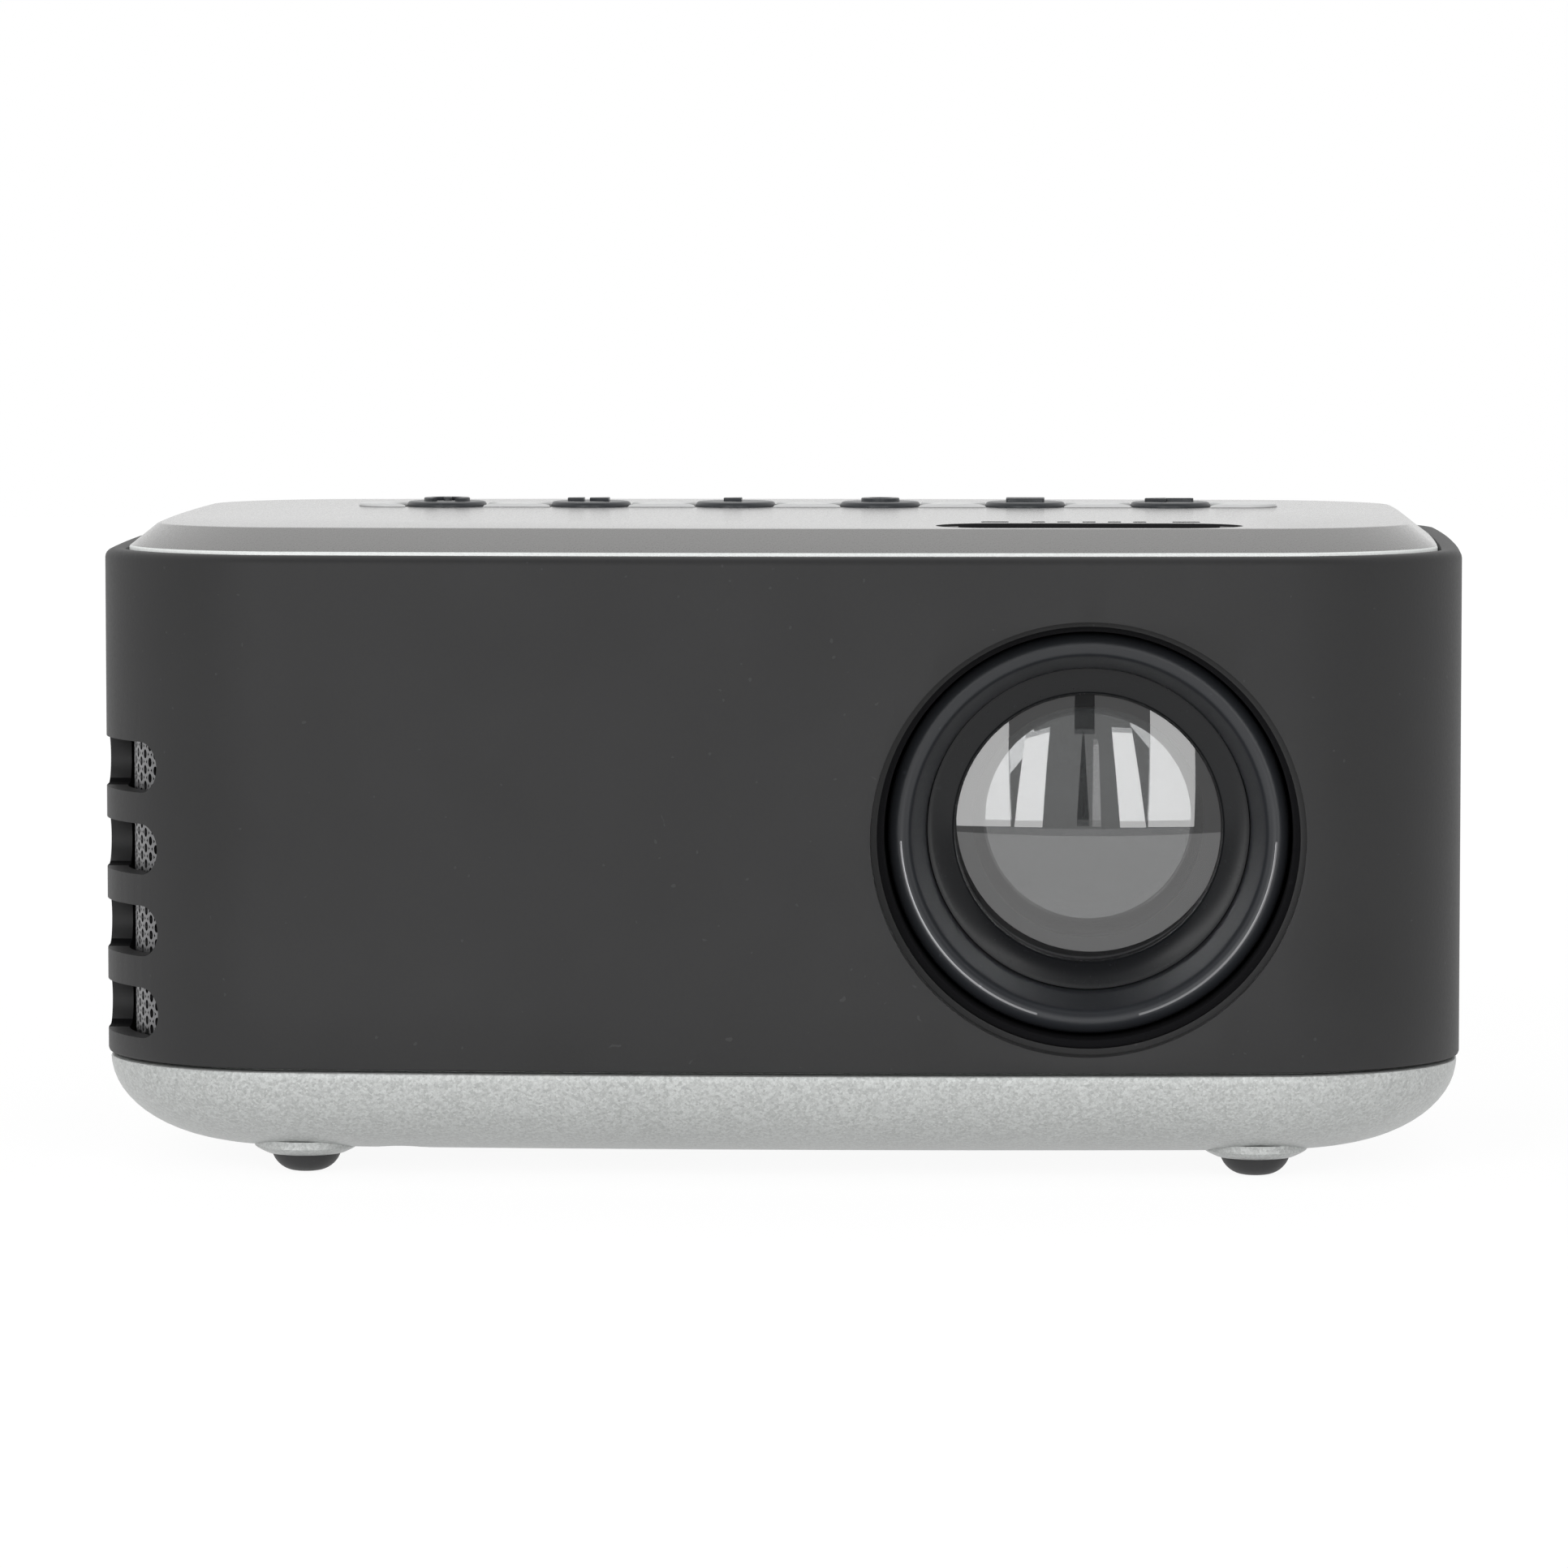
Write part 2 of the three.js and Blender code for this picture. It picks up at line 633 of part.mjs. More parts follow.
// Bends a flat piece round a left corner: x runs forward along the outline from where the side turns into
// the corner, y is the height and z the depth below the outer surface.
function bendRoundCorner(geometry, back) {
  const bent = geometry.clone();
  const place = bent.attributes.position;
  const [cornerX, cornerY] = [BODY_WIDTH / 2 - BODY_CORNER, BODY_DEPTH / 2 - BODY_CORNER];
  for (let i = 0; i < place.count; i++) {
    const [run, height, depth] = [place.getX(i), place.getY(i), place.getZ(i)];
    const angle = Math.max(run, 0) / BODY_CORNER;
    const radius = BODY_CORNER - depth;
    const [x, y] = bowed(
      -cornerX - radius * Math.cos(angle),
      -cornerY - radius * Math.sin(angle) - Math.min(run, 0),
    );
    place.setXYZ(i, x, back ? -y : y, height);
  }
  return outward(plain(bent));
}

// Pieces of the case

function ventSlot(z, back) {
  const outline = pill(VENT_LENGTH, VENT_HEIGHT, VENT_END_STEPS);
  const points = outline.getPoints().flatMap((p, i, all) => {
    const next = all[(i + 1) % all.length];
    const steps = Math.max(1, Math.round(p.distanceTo(next) / VENT_STEP));
    return Array.from({ length: steps }, (_, k) => p.clone().lerp(next, k / steps));
  });
  const slot = extrude(new THREE.Shape(points), -VENT_OVERRUN, BAND_WALL + VENT_OVERRUN);
  return bendRoundCorner(slot.translate(VENT_MIDDLE_RUN, z, 0), back);
}

function ventHeights() {
  return Array.from({ length: VENT_COUNT }, (_, i) => VENT_LOWEST_Z + i * VENT_PITCH);
}

// Wire mesh behind the slots, with staggered holes where the slots are
function ventMesh(back) {
  const heights = ventHeights();
  const length = VENT_LENGTH + 2 * MESH_MARGIN;
  const low = TONGUE_TOP_Z + FIT_GAP;
  const high = heights[VENT_COUNT - 1] + VENT_HEIGHT / 2 + MESH_MARGIN;
  const steps = Math.round(length / VENT_STEP);
  const along = (k) => VENT_MIDDLE_RUN - length / 2 + (length * k) / steps;
  const edge = [];
  for (let k = 0; k <= steps; k++) edge.push([along(k), low]);
  for (let k = steps; k >= 0; k--) edge.push([along(k), high]);
  const sheet = polygon(edge);
  const columns = Math.floor((VENT_LENGTH - 2 * MESH_HOLE_R) / MESH_PITCH);
  for (const z of heights) {
    for (let column = 0; column <= columns; column++) {
      const run = VENT_MIDDLE_RUN + (column - columns / 2) * MESH_PITCH;
      const rows = column % 2 ? [0] : [-MESH_PITCH / 2, MESH_PITCH / 2];
      for (const row of rows) sheet.holes.push(circle(MESH_HOLE_R, MESH_HOLE_SIDES, run, z + row));
    }
  }
  const front = BAND_WALL + FIT_GAP;
  return bendRoundCorner(extrude(sheet, front, front + MESH_THICKNESS), back);
}

function socketWindow(socket) {
  const low = BOARD_TOP_Z - SOCKET_WINDOW_GAP / 2;
  const high = BOARD_TOP_Z + socket.height + SOCKET_WINDOW_GAP;
  const half = socket.width / 2 + SOCKET_WINDOW_GAP;
  const x = socketX(socket);
  const inside = SOCKET_FACE_Y - SOCKET_WINDOW_GAP - BAND_WALL;
  return block([x - half, inside, low], [x + half, BACK_Y + OVERRUN, high]);
}

// Turns geometry made along +Z so that it runs along -Y from a point
function lookForward(geometry, x, y, z) {
  return geometry.rotateX(Math.PI / 2).translate(x, y, z);
}

// The same on the lens axis, from the front of the body
function onLensAxis(geometry) {
  return lookForward(geometry, LENS_X, FRONT_Y, LENS_Z);
}

function outerBand() {
  const rim = arc(0, 0, BAND_RIM_ROUND, Math.PI, Math.PI / 2, RIM_ROUND_STEPS)
    .map(([run, rise]) => [run + BAND_RIM_ROUND, RIM_Z - BAND_RIM_ROUND + rise]);
  const wall = bodyShell([
    [BAND_EDGE_ROUND, BAND_BOTTOM_Z],
    [0, BAND_BOTTOM_Z + BAND_EDGE_ROUND],
    ...rim,
    [BAND_WALL - BAND_EDGE_ROUND, RIM_Z],
    [BAND_WALL, RIM_Z - BAND_EDGE_ROUND],
    [BAND_WALL, BAND_BOTTOM_Z],
  ], true);
  const collar = onLensAxis(disc(LENS_COLLAR_R, LENS_COLLAR_BACK, LENS_COLLAR_FRONT));
  const collarInside = common(collar, bodyPrism(FUSE, TONGUE_TOP_Z + FIT_GAP, SKIRT_BOTTOM_Z - FIT_GAP));
  const hole = onLensAxis(disc(LENS_HOLE_R, LENS_HOLE_END, OVERRUN));
  const lip = onLensAxis(disc(LENS_LIP_R, LENS_COLLAR_BACK - OVERRUN, OVERRUN));
  const back = BACK_Y + OVERRUN;
  const vents = [false, true].flatMap((back) => ventHeights().map((z) => ventSlot(z, back)));
  const windows = [HDMI, USB, POWER].map(socketWindow);
  const audio = lookForward(
    disc(AUDIO.nose + SOCKET_WINDOW_GAP, -back, -SOCKET_FACE_Y + BAND_WALL, SOCKET_STEPS),
    socketX(AUDIO), 0, BOARD_TOP_Z + AUDIO.height / 2);
  const receiver = extrude(roundedRectangle(WINDOW_WIDTH, WINDOW_HEIGHT, WINDOW_CORNER), -back,
    -SOCKET_FACE_Y + BAND_WALL);
  const window = lookForward(receiver, WINDOW_X, 0, WINDOW_Z);
  return cut(join(wall, collarInside), hole, lip, ...vents, ...windows, audio, window);
}

function bodyPrism(inset, low, high) {
  return bodyShell([[inset, low], [inset, high]], false);
}

// Elliptical edge of the tray, from its upright side down to its flat bottom
function trayCurve(edge, run, drop, steps) {
  const points = [];
  for (let k = 0; k <= steps; k++) {
    const angle = ((Math.PI / 2) * k) / steps;
    points.push([edge + run * (1 - Math.cos(angle)), TRAY_TOP_Z - drop * Math.sin(angle)]);
  }
  return points;
}

function bottomTray() {
  const tongueOuter = BAND_WALL + FIT_GAP;
  const tongueInner = tongueOuter + TONGUE_THICKNESS;
  const shell = bodyShell([
    ...trayCurve(TRAY_EDGE_INSET, TRAY_ROUND_RUN, TRAY_TOP_Z - TRAY_UNDERSIDE_Z, TRAY_ROUND_STEPS).reverse(),
    [tongueOuter, TRAY_TOP_Z],
    [tongueOuter, TONGUE_TOP_Z],
    [tongueInner, TONGUE_TOP_Z],
    ...trayCurve(tongueInner, TRAY_ROUND_RUN - TRAY_WALL, TRAY_TOP_Z - TRAY_FLOOR_Z, TRAY_INSIDE_STEPS),
  ], false);
  const added = [];
  const taken = [];
  const stemTop = FOOT_BOSS_Z + FOOT_STEM_LENGTH + FIT_GAP;
  for (const x of [-FOOT_X, FOOT_X]) {
    for (const y of [-FOOT_Y, FOOT_Y]) {
      const boss = disc(FOOT_BOSS_R, FOOT_BOSS_Z, TRAY_FLOOR_Z + FUSE, SOCKET_STEPS);
      const stem = disc(FOOT_STEM_R + FIT_GAP, FOOT_BOSS_Z - OVERRUN, stemTop, SOCKET_STEPS / 2);
      added.push(boss.translate(x, y, 0));
      taken.push(stem.translate(x, y, 0));
    }
  }
  const shoulder = TRAY_UNDERSIDE_Z + SCREW_HEAD_RECESS + SCREW_HEAD_HEIGHT + FIT_GAP;
  for (const [x, y] of SCREW_PLACES) {
    added.push(disc(TRAY_POST_R, TRAY_FLOOR_Z - FUSE, TRAY_POST_TOP_Z, SOCKET_STEPS).translate(x, y, 0));
    taken.push(disc(SCREW_HEAD_R + FIT_GAP, FOOT_BOSS_Z, shoulder, SOCKET_STEPS).translate(x, y, 0));
    taken.push(disc(SCREW_R + FIT_GAP, shoulder - FUSE, TRAY_POST_TOP_Z + OVERRUN, SOCKET_STEPS / 2)
      .translate(x, y, 0));
  }
  for (const [x, y] of BOARD_POST_PLACES) {
    added.push(disc(BOARD_POST_R, TRAY_FLOOR_Z - FUSE, BOARD_Z - FIT_GAP, SOCKET_STEPS / 2)
      .translate(x, y, 0));
  }
  for (const [x, y] of ENGINE_POST_PLACES) {
    added.push(disc(ENGINE_POST_R, TRAY_FLOOR_Z - FUSE, ENGINE_BOTTOM_Z - FIT_GAP, SOCKET_STEPS / 2)
      .translate(x, y, 0));
  }
  added.push(...fanCradle(), sinkRest(), insertBoss(), speakerSeat());
  taken.push(disc(INSERT_R + FIT_GAP, TRAY_UNDERSIDE_Z - OVERRUN, TRAY_UNDERSIDE_Z + INSERT_LENGTH + FIT_GAP,
    INSERT_STEPS).translate(INSERT_X, INSERT_Y, 0));
  taken.push(...soundHoles(), ...intakeSlots());
  return cut(join(shell, ...added), ...taken);
}

// Two ribs that hold the fan by its lower edge
function fanCradle() {
  const bottom = LENS_Z - FAN_SIZE / 2;
  const half = FAN_SIZE / 2 - FAN_CORNER;
  const front = FAN_Y - FAN_DEPTH / 2 - FIT_GAP;
  const back = FAN_Y + FAN_DEPTH / 2 + FIT_GAP;
  return [-1, 1].flatMap((side) => {
    const x = FAN_X + side * (half - CRADLE_WALL);
    const rib = block([x - CRADLE_WALL, front - CRADLE_WALL, TRAY_FLOOR_Z - FUSE],
      [x + CRADLE_WALL, back + CRADLE_WALL, bottom - FIT_GAP]);
    const stops = [[front - CRADLE_WALL, front], [back, back + CRADLE_WALL]].map(([from, to]) =>
      block([x - CRADLE_WALL, from, bottom - CRADLE_RISE], [x + CRADLE_WALL, to, bottom + CRADLE_RISE]));
    return [rib, ...stops];
  });
}

// Rib that the heat sink stands on
function sinkRest() {
  const x = (SINK_LEFT + SINK_RIGHT) / 2;
  const half = SINK_LENGTH / 2 - CRADLE_WALL;
  return block([x - CRADLE_WALL, ENGINE_Y - half, TRAY_FLOOR_Z - FUSE],
    [x + CRADLE_WALL, ENGINE_Y + half, LENS_Z - SINK_HEIGHT / 2 - FIT_GAP]);
}

function insertBoss() {
  const boss = INSERT_R + FIT_GAP + INSERT_BOSS_WALL;
  const top = TRAY_UNDERSIDE_Z + INSERT_LENGTH + FIT_GAP + TRAY_WALL;
  return disc(boss, TRAY_FLOOR_Z - FUSE, top, INSERT_STEPS).translate(INSERT_X, INSERT_Y, 0);
}

function speakerSeat() {
  const [low, high] = [TRAY_FLOOR_Z - FUSE, TRAY_FLOOR_Z + SPEAKER_SEAT_RISE];
  const seat = ring(SPEAKER_R - SPEAKER_SEAT_WIDTH, SPEAKER_R, low, high, LENS_STEPS);
  return seat.translate(SPEAKER_X, SPEAKER_Y, 0);
}

function soundHoles() {
  const [low, high] = [TRAY_UNDERSIDE_Z - OVERRUN, TRAY_FLOOR_Z + OVERRUN];
  const hole = (x, y) =>
    disc(SOUND_HOLE_R, low, high, SOUND_HOLE_SIDES).translate(SPEAKER_X + x, SPEAKER_Y + y, 0);
  return [hole(0, 0), ...Array.from({ length: SOUND_HOLE_COUNT }, (_, i) => {
    const angle = (2 * Math.PI * i) / SOUND_HOLE_COUNT;
    return hole(SOUND_HOLE_PITCH * Math.cos(angle), SOUND_HOLE_PITCH * Math.sin(angle));
  })];
}

function intakeSlots() {
  const slot = pill(INTAKE_LENGTH, INTAKE_WIDTH, 1);
  return Array.from({ length: INTAKE_COUNT }, (_, i) =>
    extrude(slot, TRAY_UNDERSIDE_Z - OVERRUN, TRAY_FLOOR_Z + OVERRUN)
      .translate(INTAKE_X, INTAKE_Y + (i - (INTAKE_COUNT - 1) / 2) * INTAKE_PITCH, 0));
}

function keyPlaces() {
  return Array.from({ length: KEY_COUNT }, (_, i) => KEY_ROW_X + (i - (KEY_COUNT - 1) / 2) * KEY_PITCH);
}

function flatRing(shape, z) {
  return shape.getPoints().map((p) => new THREE.Vector3(p.x, p.y, z));
}

function topCover() {
  const inner = COVER_INSET + COVER_WALL;
  const shell = bodyShell([
    [RIDGE_INSET, COVER_RIDGE_Z - COVER_WALL, TOP_FALL],
    [inner, COVER_EDGE_Z - COVER_WALL / 2],
    [inner, SKIRT_BOTTOM_Z],
    [COVER_INSET, SKIRT_BOTTOM_Z],
    [COVER_INSET, COVER_EDGE_Z],
    [RIDGE_INSET, COVER_RIDGE_Z, TOP_FALL],
  ], false);
  const stripTop = KEY_ROW_TOP_Z + STRIP_RISE;
  const strip = skin([
    flatRing(pill(STRIP_LENGTH, STRIP_WIDTH), KEY_ROW_TOP_Z - COVER_WALL / 2),
    flatRing(pill(STRIP_LENGTH, STRIP_WIDTH), stripTop - STRIP_BEVEL),
    flatRing(pill(STRIP_LENGTH - 2 * STRIP_BEVEL, STRIP_WIDTH - 2 * STRIP_BEVEL), stripTop),
  ]).translate(STRIP_X, KEY_ROW_Y, 0);
  const posts = SCREW_PLACES.map(([x, y]) =>
    disc(POST_R, TRAY_POST_TOP_Z + FIT_GAP, COVER_RIDGE_Z - COVER_WALL + FUSE, SOCKET_STEPS)
      .translate(x, y, 0));
  const bores = SCREW_PLACES.map(([x, y]) =>
    disc(SCREW_R + FIT_GAP, TRAY_POST_TOP_Z - OVERRUN, TRAY_POST_TOP_Z + POST_BORE_DEPTH, SOCKET_STEPS / 2)
      .translate(x, y, 0));
  const keyPosts = [-1, 1].map((side) =>
    disc(KEY_POST_R, KEY_BOARD_TOP_Z + FIT_GAP, KEY_ROW_TOP_Z - COVER_WALL + FUSE, SOCKET_STEPS / 2)
      .translate(KEY_ROW_X + side * 2 * KEY_PITCH, KEY_ROW_Y, 0));
  const wellR = KEY_HOLE_R + KEY_WELL_RUN;
  const hole = revolve([[0, KEY_FLANGE_TOP_Z], [KEY_HOLE_R, KEY_FLANGE_TOP_Z],
    [KEY_HOLE_R, stripTop - KEY_WELL_DEPTH], [wellR, stripTop], [wellR, stripTop + OVERRUN],
    [0, stripTop + OVERRUN]], KEY_STEPS);
  const holes = keyPlaces().map((x) => hole.clone().translate(x, KEY_ROW_Y, 0));
  const slotTop = topHeight(SLOT_Y);
  const opening = extrude(pill(SLOT_LENGTH - 2 * SLOT_SCOOP_RUN, SLOT_WIDTH - 2 * SLOT_SCOOP_RUN),
    slotTop - COVER_WALL - OVERRUN, slotTop + OVERRUN).translate(LENS_X, SLOT_Y, 0);
  const flare = (2 * SLOT_SCOOP_RUN * OVERRUN) / SLOT_SCOOP_DEPTH;
  const scoop = skin([
    flatRing(pill(SLOT_LENGTH - 2 * SLOT_SCOOP_RUN, SLOT_WIDTH - 2 * SLOT_SCOOP_RUN),
      slotTop - SLOT_SCOOP_DEPTH),
    flatRing(pill(SLOT_LENGTH, SLOT_WIDTH), slotTop),
    flatRing(pill(SLOT_LENGTH + flare, SLOT_WIDTH + flare), slotTop + OVERRUN),
  ]).translate(LENS_X, SLOT_Y, 0);
  return cut(join(shell, strip, ...posts, ...keyPosts), ...bores, ...holes, opening, scoop);
}

function foot() {
  const dome = [];
  const top = FOOT_BOSS_Z - FIT_GAP;
  const [run, rise] = [FOOT_R - FOOT_FLAT_R, top - FOOT_DOME_SIDE];
  for (let k = 0; k <= FOOT_STEPS; k++) {
    const angle = ((Math.PI / 2) * k) / FOOT_STEPS;
    dome.push([FOOT_FLAT_R + run * Math.sin(angle), rise * (1 - Math.cos(angle))]);
  }
  return revolve([[0, 0], ...dome, [FOOT_R, top], [FOOT_STEM_R, top],
    [FOOT_STEM_R, FOOT_BOSS_Z + FOOT_STEM_LENGTH], [0, FOOT_BOSS_Z + FOOT_STEM_LENGTH]], SOCKET_STEPS);
}

function caseScrew() {
  const headLow = TRAY_UNDERSIDE_Z + SCREW_HEAD_RECESS;
  const headTop = headLow + SCREW_HEAD_HEIGHT;
  const tip = headTop + SCREW_LENGTH;
  const body = revolve([[0, headLow], [SCREW_HEAD_R, headLow], [SCREW_HEAD_R, headTop], [SCREW_R, headTop],
    [SCREW_R, tip - SCREW_R], [0, tip]], SOCKET_STEPS / 2);
  const half = SCREW_DRIVE_WIDTH / 2;
  const arm = SCREW_HEAD_R - SCREW_DRIVE_WIDTH;
  const crossLow = headLow - OVERRUN;
  return cut(body,
    block([-arm, -half, crossLow], [arm, half, headLow + SCREW_DRIVE_DEPTH]),
    block([-half, -arm, crossLow], [half, arm, headLow + SCREW_DRIVE_DEPTH]));
}

function tripodInsert() {
  return ring(INSERT_BORE_R, INSERT_R, TRAY_UNDERSIDE_Z, TRAY_UNDERSIDE_Z + INSERT_LENGTH, INSERT_STEPS);
}

// Keys and their board

function iconShapes() {
  const line = ICON_LINE;
  const bar = (x, y, width, height) => {
    const [left, right, low, high] = [x - width / 2, x + width / 2, y - height / 2, y + height / 2];
    return polygon([[left, low], [right, low], [right, high], [left, high]]);
  };
  const arrow = (x, size) => polygon([[x - size, 0], [x + size / 2, -size], [x + size / 2, size]]);
  const halo = circle(ICON_R - line / 2, SOCKET_STEPS);
  halo.holes.push(circle(ICON_R - line / 2 - line, SOCKET_STEPS));
  const sweep = THREE.MathUtils.degToRad(ICON_SWEEP_DEG);
  const [small, middling, large] = ARROW_SIZES;
  return [
    [sector(ICON_R - line, ICON_R, sweep, SOCKET_STEPS), bar(0, -ICON_R / 2, line, ICON_R)],
    [arrow(-ICON_R / 2, small), arrow(ICON_R / 2, large)],
    [arrow(0, middling)],
    [halo],
    [-ICON_BARS_PITCH, 0, ICON_BARS_PITCH].map((y) => bar(0, y, ICON_BARS_WIDTH, line)),
    [polygon([[-ICON_R, 0], [0, -ICON_R], [0, -line / 2], [ICON_R, -line / 2], [ICON_R, line / 2],
      [0, line / 2], [0, ICON_R]])],
  ];
}

function keyCap(icons) {
  const top = KEY_ROW_TOP_Z + KEY_RISE;
  const flangeLow = KEY_FLANGE_TOP_Z - KEY_FLANGE;
  const cap = revolve([[0, KEY_STEM_BOTTOM_Z], [KEY_STEM_R, KEY_STEM_BOTTOM_Z], [KEY_STEM_R, flangeLow],
    [KEY_FLANGE_R, flangeLow], [KEY_FLANGE_R, KEY_FLANGE_TOP_Z], [KEY_R, KEY_FLANGE_TOP_Z],
    [KEY_R, top - KEY_ROUND], [KEY_R - KEY_ROUND, top], [0, top]], KEY_STEPS);
  return join(cap, ...icons.map((icon) => extrude(icon, top - FUSE, top + ICON_RISE)));
}

function keyBoard() {
  const low = KEY_BOARD_TOP_Z - BOARD_THICKNESS;
  const board = extrude(roundedRectangle(KEY_BOARD_LENGTH, KEY_BOARD_WIDTH, KEY_BOARD_CORNER), low,
    KEY_BOARD_TOP_Z).translate(KEY_ROW_X, KEY_ROW_Y, 0);
  const half = SWITCH_SIZE / 2;
  const switches = keyPlaces().flatMap((x) => [
    block([x - half, KEY_ROW_Y - half, KEY_BOARD_TOP_Z - FUSE], [x + half, KEY_ROW_Y + half,
      KEY_BOARD_TOP_Z + SWITCH_HEIGHT]),
    disc(SWITCH_PLUNGER_R, KEY_BOARD_TOP_Z, PLUNGER_TOP_Z, SOCKET_STEPS / 2).translate(x, KEY_ROW_Y, 0),
  ]);
  return join(board, ...switches);
}

// Lens parts, made along +Z and turned to look forward by their group

function lensSleeve() {
  const back = ENGINE_FACE + FIT_GAP;
  const grooveLow = CLIP_BACK - FIT_GAP / 2;
  const grooveHigh = CLIP_BACK + CLIP_THICKNESS + FIT_GAP / 2;
  const tube = revolve([[SLEEVE_BORE_R, back], [SLEEVE_SHOULDER_R, back],
    [SLEEVE_SHOULDER_R, SLEEVE_SHOULDER_FRONT], [SLEEVE_R, SLEEVE_SHOULDER_FRONT],
    [SLEEVE_R, grooveLow], [SLEEVE_R - CLIP_GROOVE, grooveLow],
    [SLEEVE_R - CLIP_GROOVE, grooveHigh], [SLEEVE_R, grooveHigh], [SLEEVE_R, SLEEVE_FRONT],
    [SLEEVE_BORE_R, SLEEVE_FRONT]], LENS_STEPS);
  const flange = roundedRectangle(SLEEVE_FLANGE, SLEEVE_FLANGE, SLEEVE_FLANGE_CORNER);
  flange.holes.push(circle((SLEEVE_BORE_R + SLEEVE_R) / 2, LENS_STEPS));
  const plate = extrude(flange, back, back + SLEEVE_FLANGE_THICKNESS);
  return cut(join(tube, plate), ...pinAngles().map(helicalSlot));
}

function pinAngles() {
  return Array.from({ length: PIN_COUNT }, (_, i) => Math.PI / 2 + (2 * Math.PI * i) / PIN_COUNT);
}

// Slot that turns the barrel's pins into travel along the axis
function helicalSlot(start) {
  const half = PIN_R + PIN_CLEARANCE;
  const reach = THREE.MathUtils.degToRad(FOCUS_RANGE_DEG) + half / SLEEVE_BORE_R;
  const [inner, outer] = [SLEEVE_BORE_R - OVERRUN, SLEEVE_SHOULDER_R + OVERRUN];
  const rings = [];
  for (let k = 0; k <= HELIX_STEPS; k++) {
    const turn = -reach + (2 * reach * k) / HELIX_STEPS;
    const z = PIN_STATION + FOCUS_LEAD * turn;
    const angle = start + turn;
    const corner = (radius, height) =>
      new THREE.Vector3(radius * Math.cos(angle), radius * Math.sin(angle), height);
    rings.push([
      corner(inner, z - half), corner(outer, z - half), corner(outer, z + half), corner(inner, z + half),
    ]);
  }
  return skin(rings);
}

function lensBarrel() {
  const reliefR = BARREL_R - BARREL_RELIEF;
  const seat = FRONT_LENS_EDGE_BACK - FIT_GAP;
  const boreR = FRONT_LENS_R + FIT_GAP;
  const rearBoreR = REAR_LENS_R + FIT_GAP;
  const tube = revolve([[BARREL_R, BARREL_BACK], [BARREL_R, BARREL_BACK + BARREL_LAND],
    [reliefR, BARREL_BACK + BARREL_LAND], [reliefR, BARREL_FRONT - BARREL_FRONT_LAND],
    [BARREL_R, BARREL_FRONT - BARREL_FRONT_LAND], [BARREL_R, BARREL_FRONT],
    [BARREL_R - BARREL_LIP, BARREL_FRONT],
    [RING_BORE_R, FUNNEL_END], [RING_BORE_R, RING_SEAT], [boreR, RING_SEAT], [boreR, seat],
    [boreR - LENS_SEAT_RUN, seat], [boreR - LENS_SEAT_RUN, STOP_FRONT],
    [STOP_R, STOP_FRONT], [STOP_R, STOP_BACK],
    [rearBoreR, STOP_BACK], [rearBoreR, BARREL_BACK]], LENS_STEPS);
  const pins = pinAngles().map((angle) =>
    disc(PIN_R, reliefR - FUSE, PIN_REACH_R, PIN_SIDES).rotateY(Math.PI / 2).rotateZ(angle)
      .translate(0, 0, PIN_STATION));
  return join(tube, ...pins);
}

function lensCap(radius, z, bulge, steps) {
  return Array.from({ length: steps + 1 }, (_, k) => {
    const share = 1 - k / steps;
    return [radius * share, z + bulge * (1 - share ** 2)];
  });
}

function frontLens() {
  const back = lensCap(FRONT_LENS_R, FRONT_LENS_EDGE_BACK, -FRONT_LENS_BACK_BULGE, BACK_FACE_STEPS);
  const front = lensCap(FRONT_LENS_R, FRONT_LENS_EDGE_FRONT, FRONT_LENS_FRONT_BULGE, FRONT_FACE_STEPS);
  return revolve([...back.reverse(), ...front], LENS_STEPS);
}

function rearLens() {
  const front = STOP_BACK - FIT_GAP;
  const back = front - REAR_LENS_EDGE;
  const bulge = lensCap(REAR_LENS_R, back, -REAR_LENS_BULGE, FRONT_FACE_STEPS);
  return revolve([...bulge.reverse(), [REAR_LENS_R, front], [0, front]], LENS_STEPS);
}

function lensRing() {
  const outer = RING_BORE_R - FIT_GAP;
  return revolve([[RING_OPENING_R, RING_SEAT + FIT_GAP], [outer, RING_SEAT + FIT_GAP], [outer, FUNNEL_END],
    [outer - FIT_GAP, FUNNEL_END], [RING_OPENING_R, FUNNEL_END - 2 * FIT_GAP]], LENS_STEPS);
}

function wheelClip() {
  const halfAngle = Math.PI - THREE.MathUtils.degToRad(CLIP_MOUTH_DEG) / 2;
  const shape = sector(SLEEVE_R - CLIP_GROOVE + FIT_GAP, CLIP_R, halfAngle, LENS_STEPS);
  return extrude(shape, CLIP_BACK, CLIP_BACK + CLIP_THICKNESS);
}

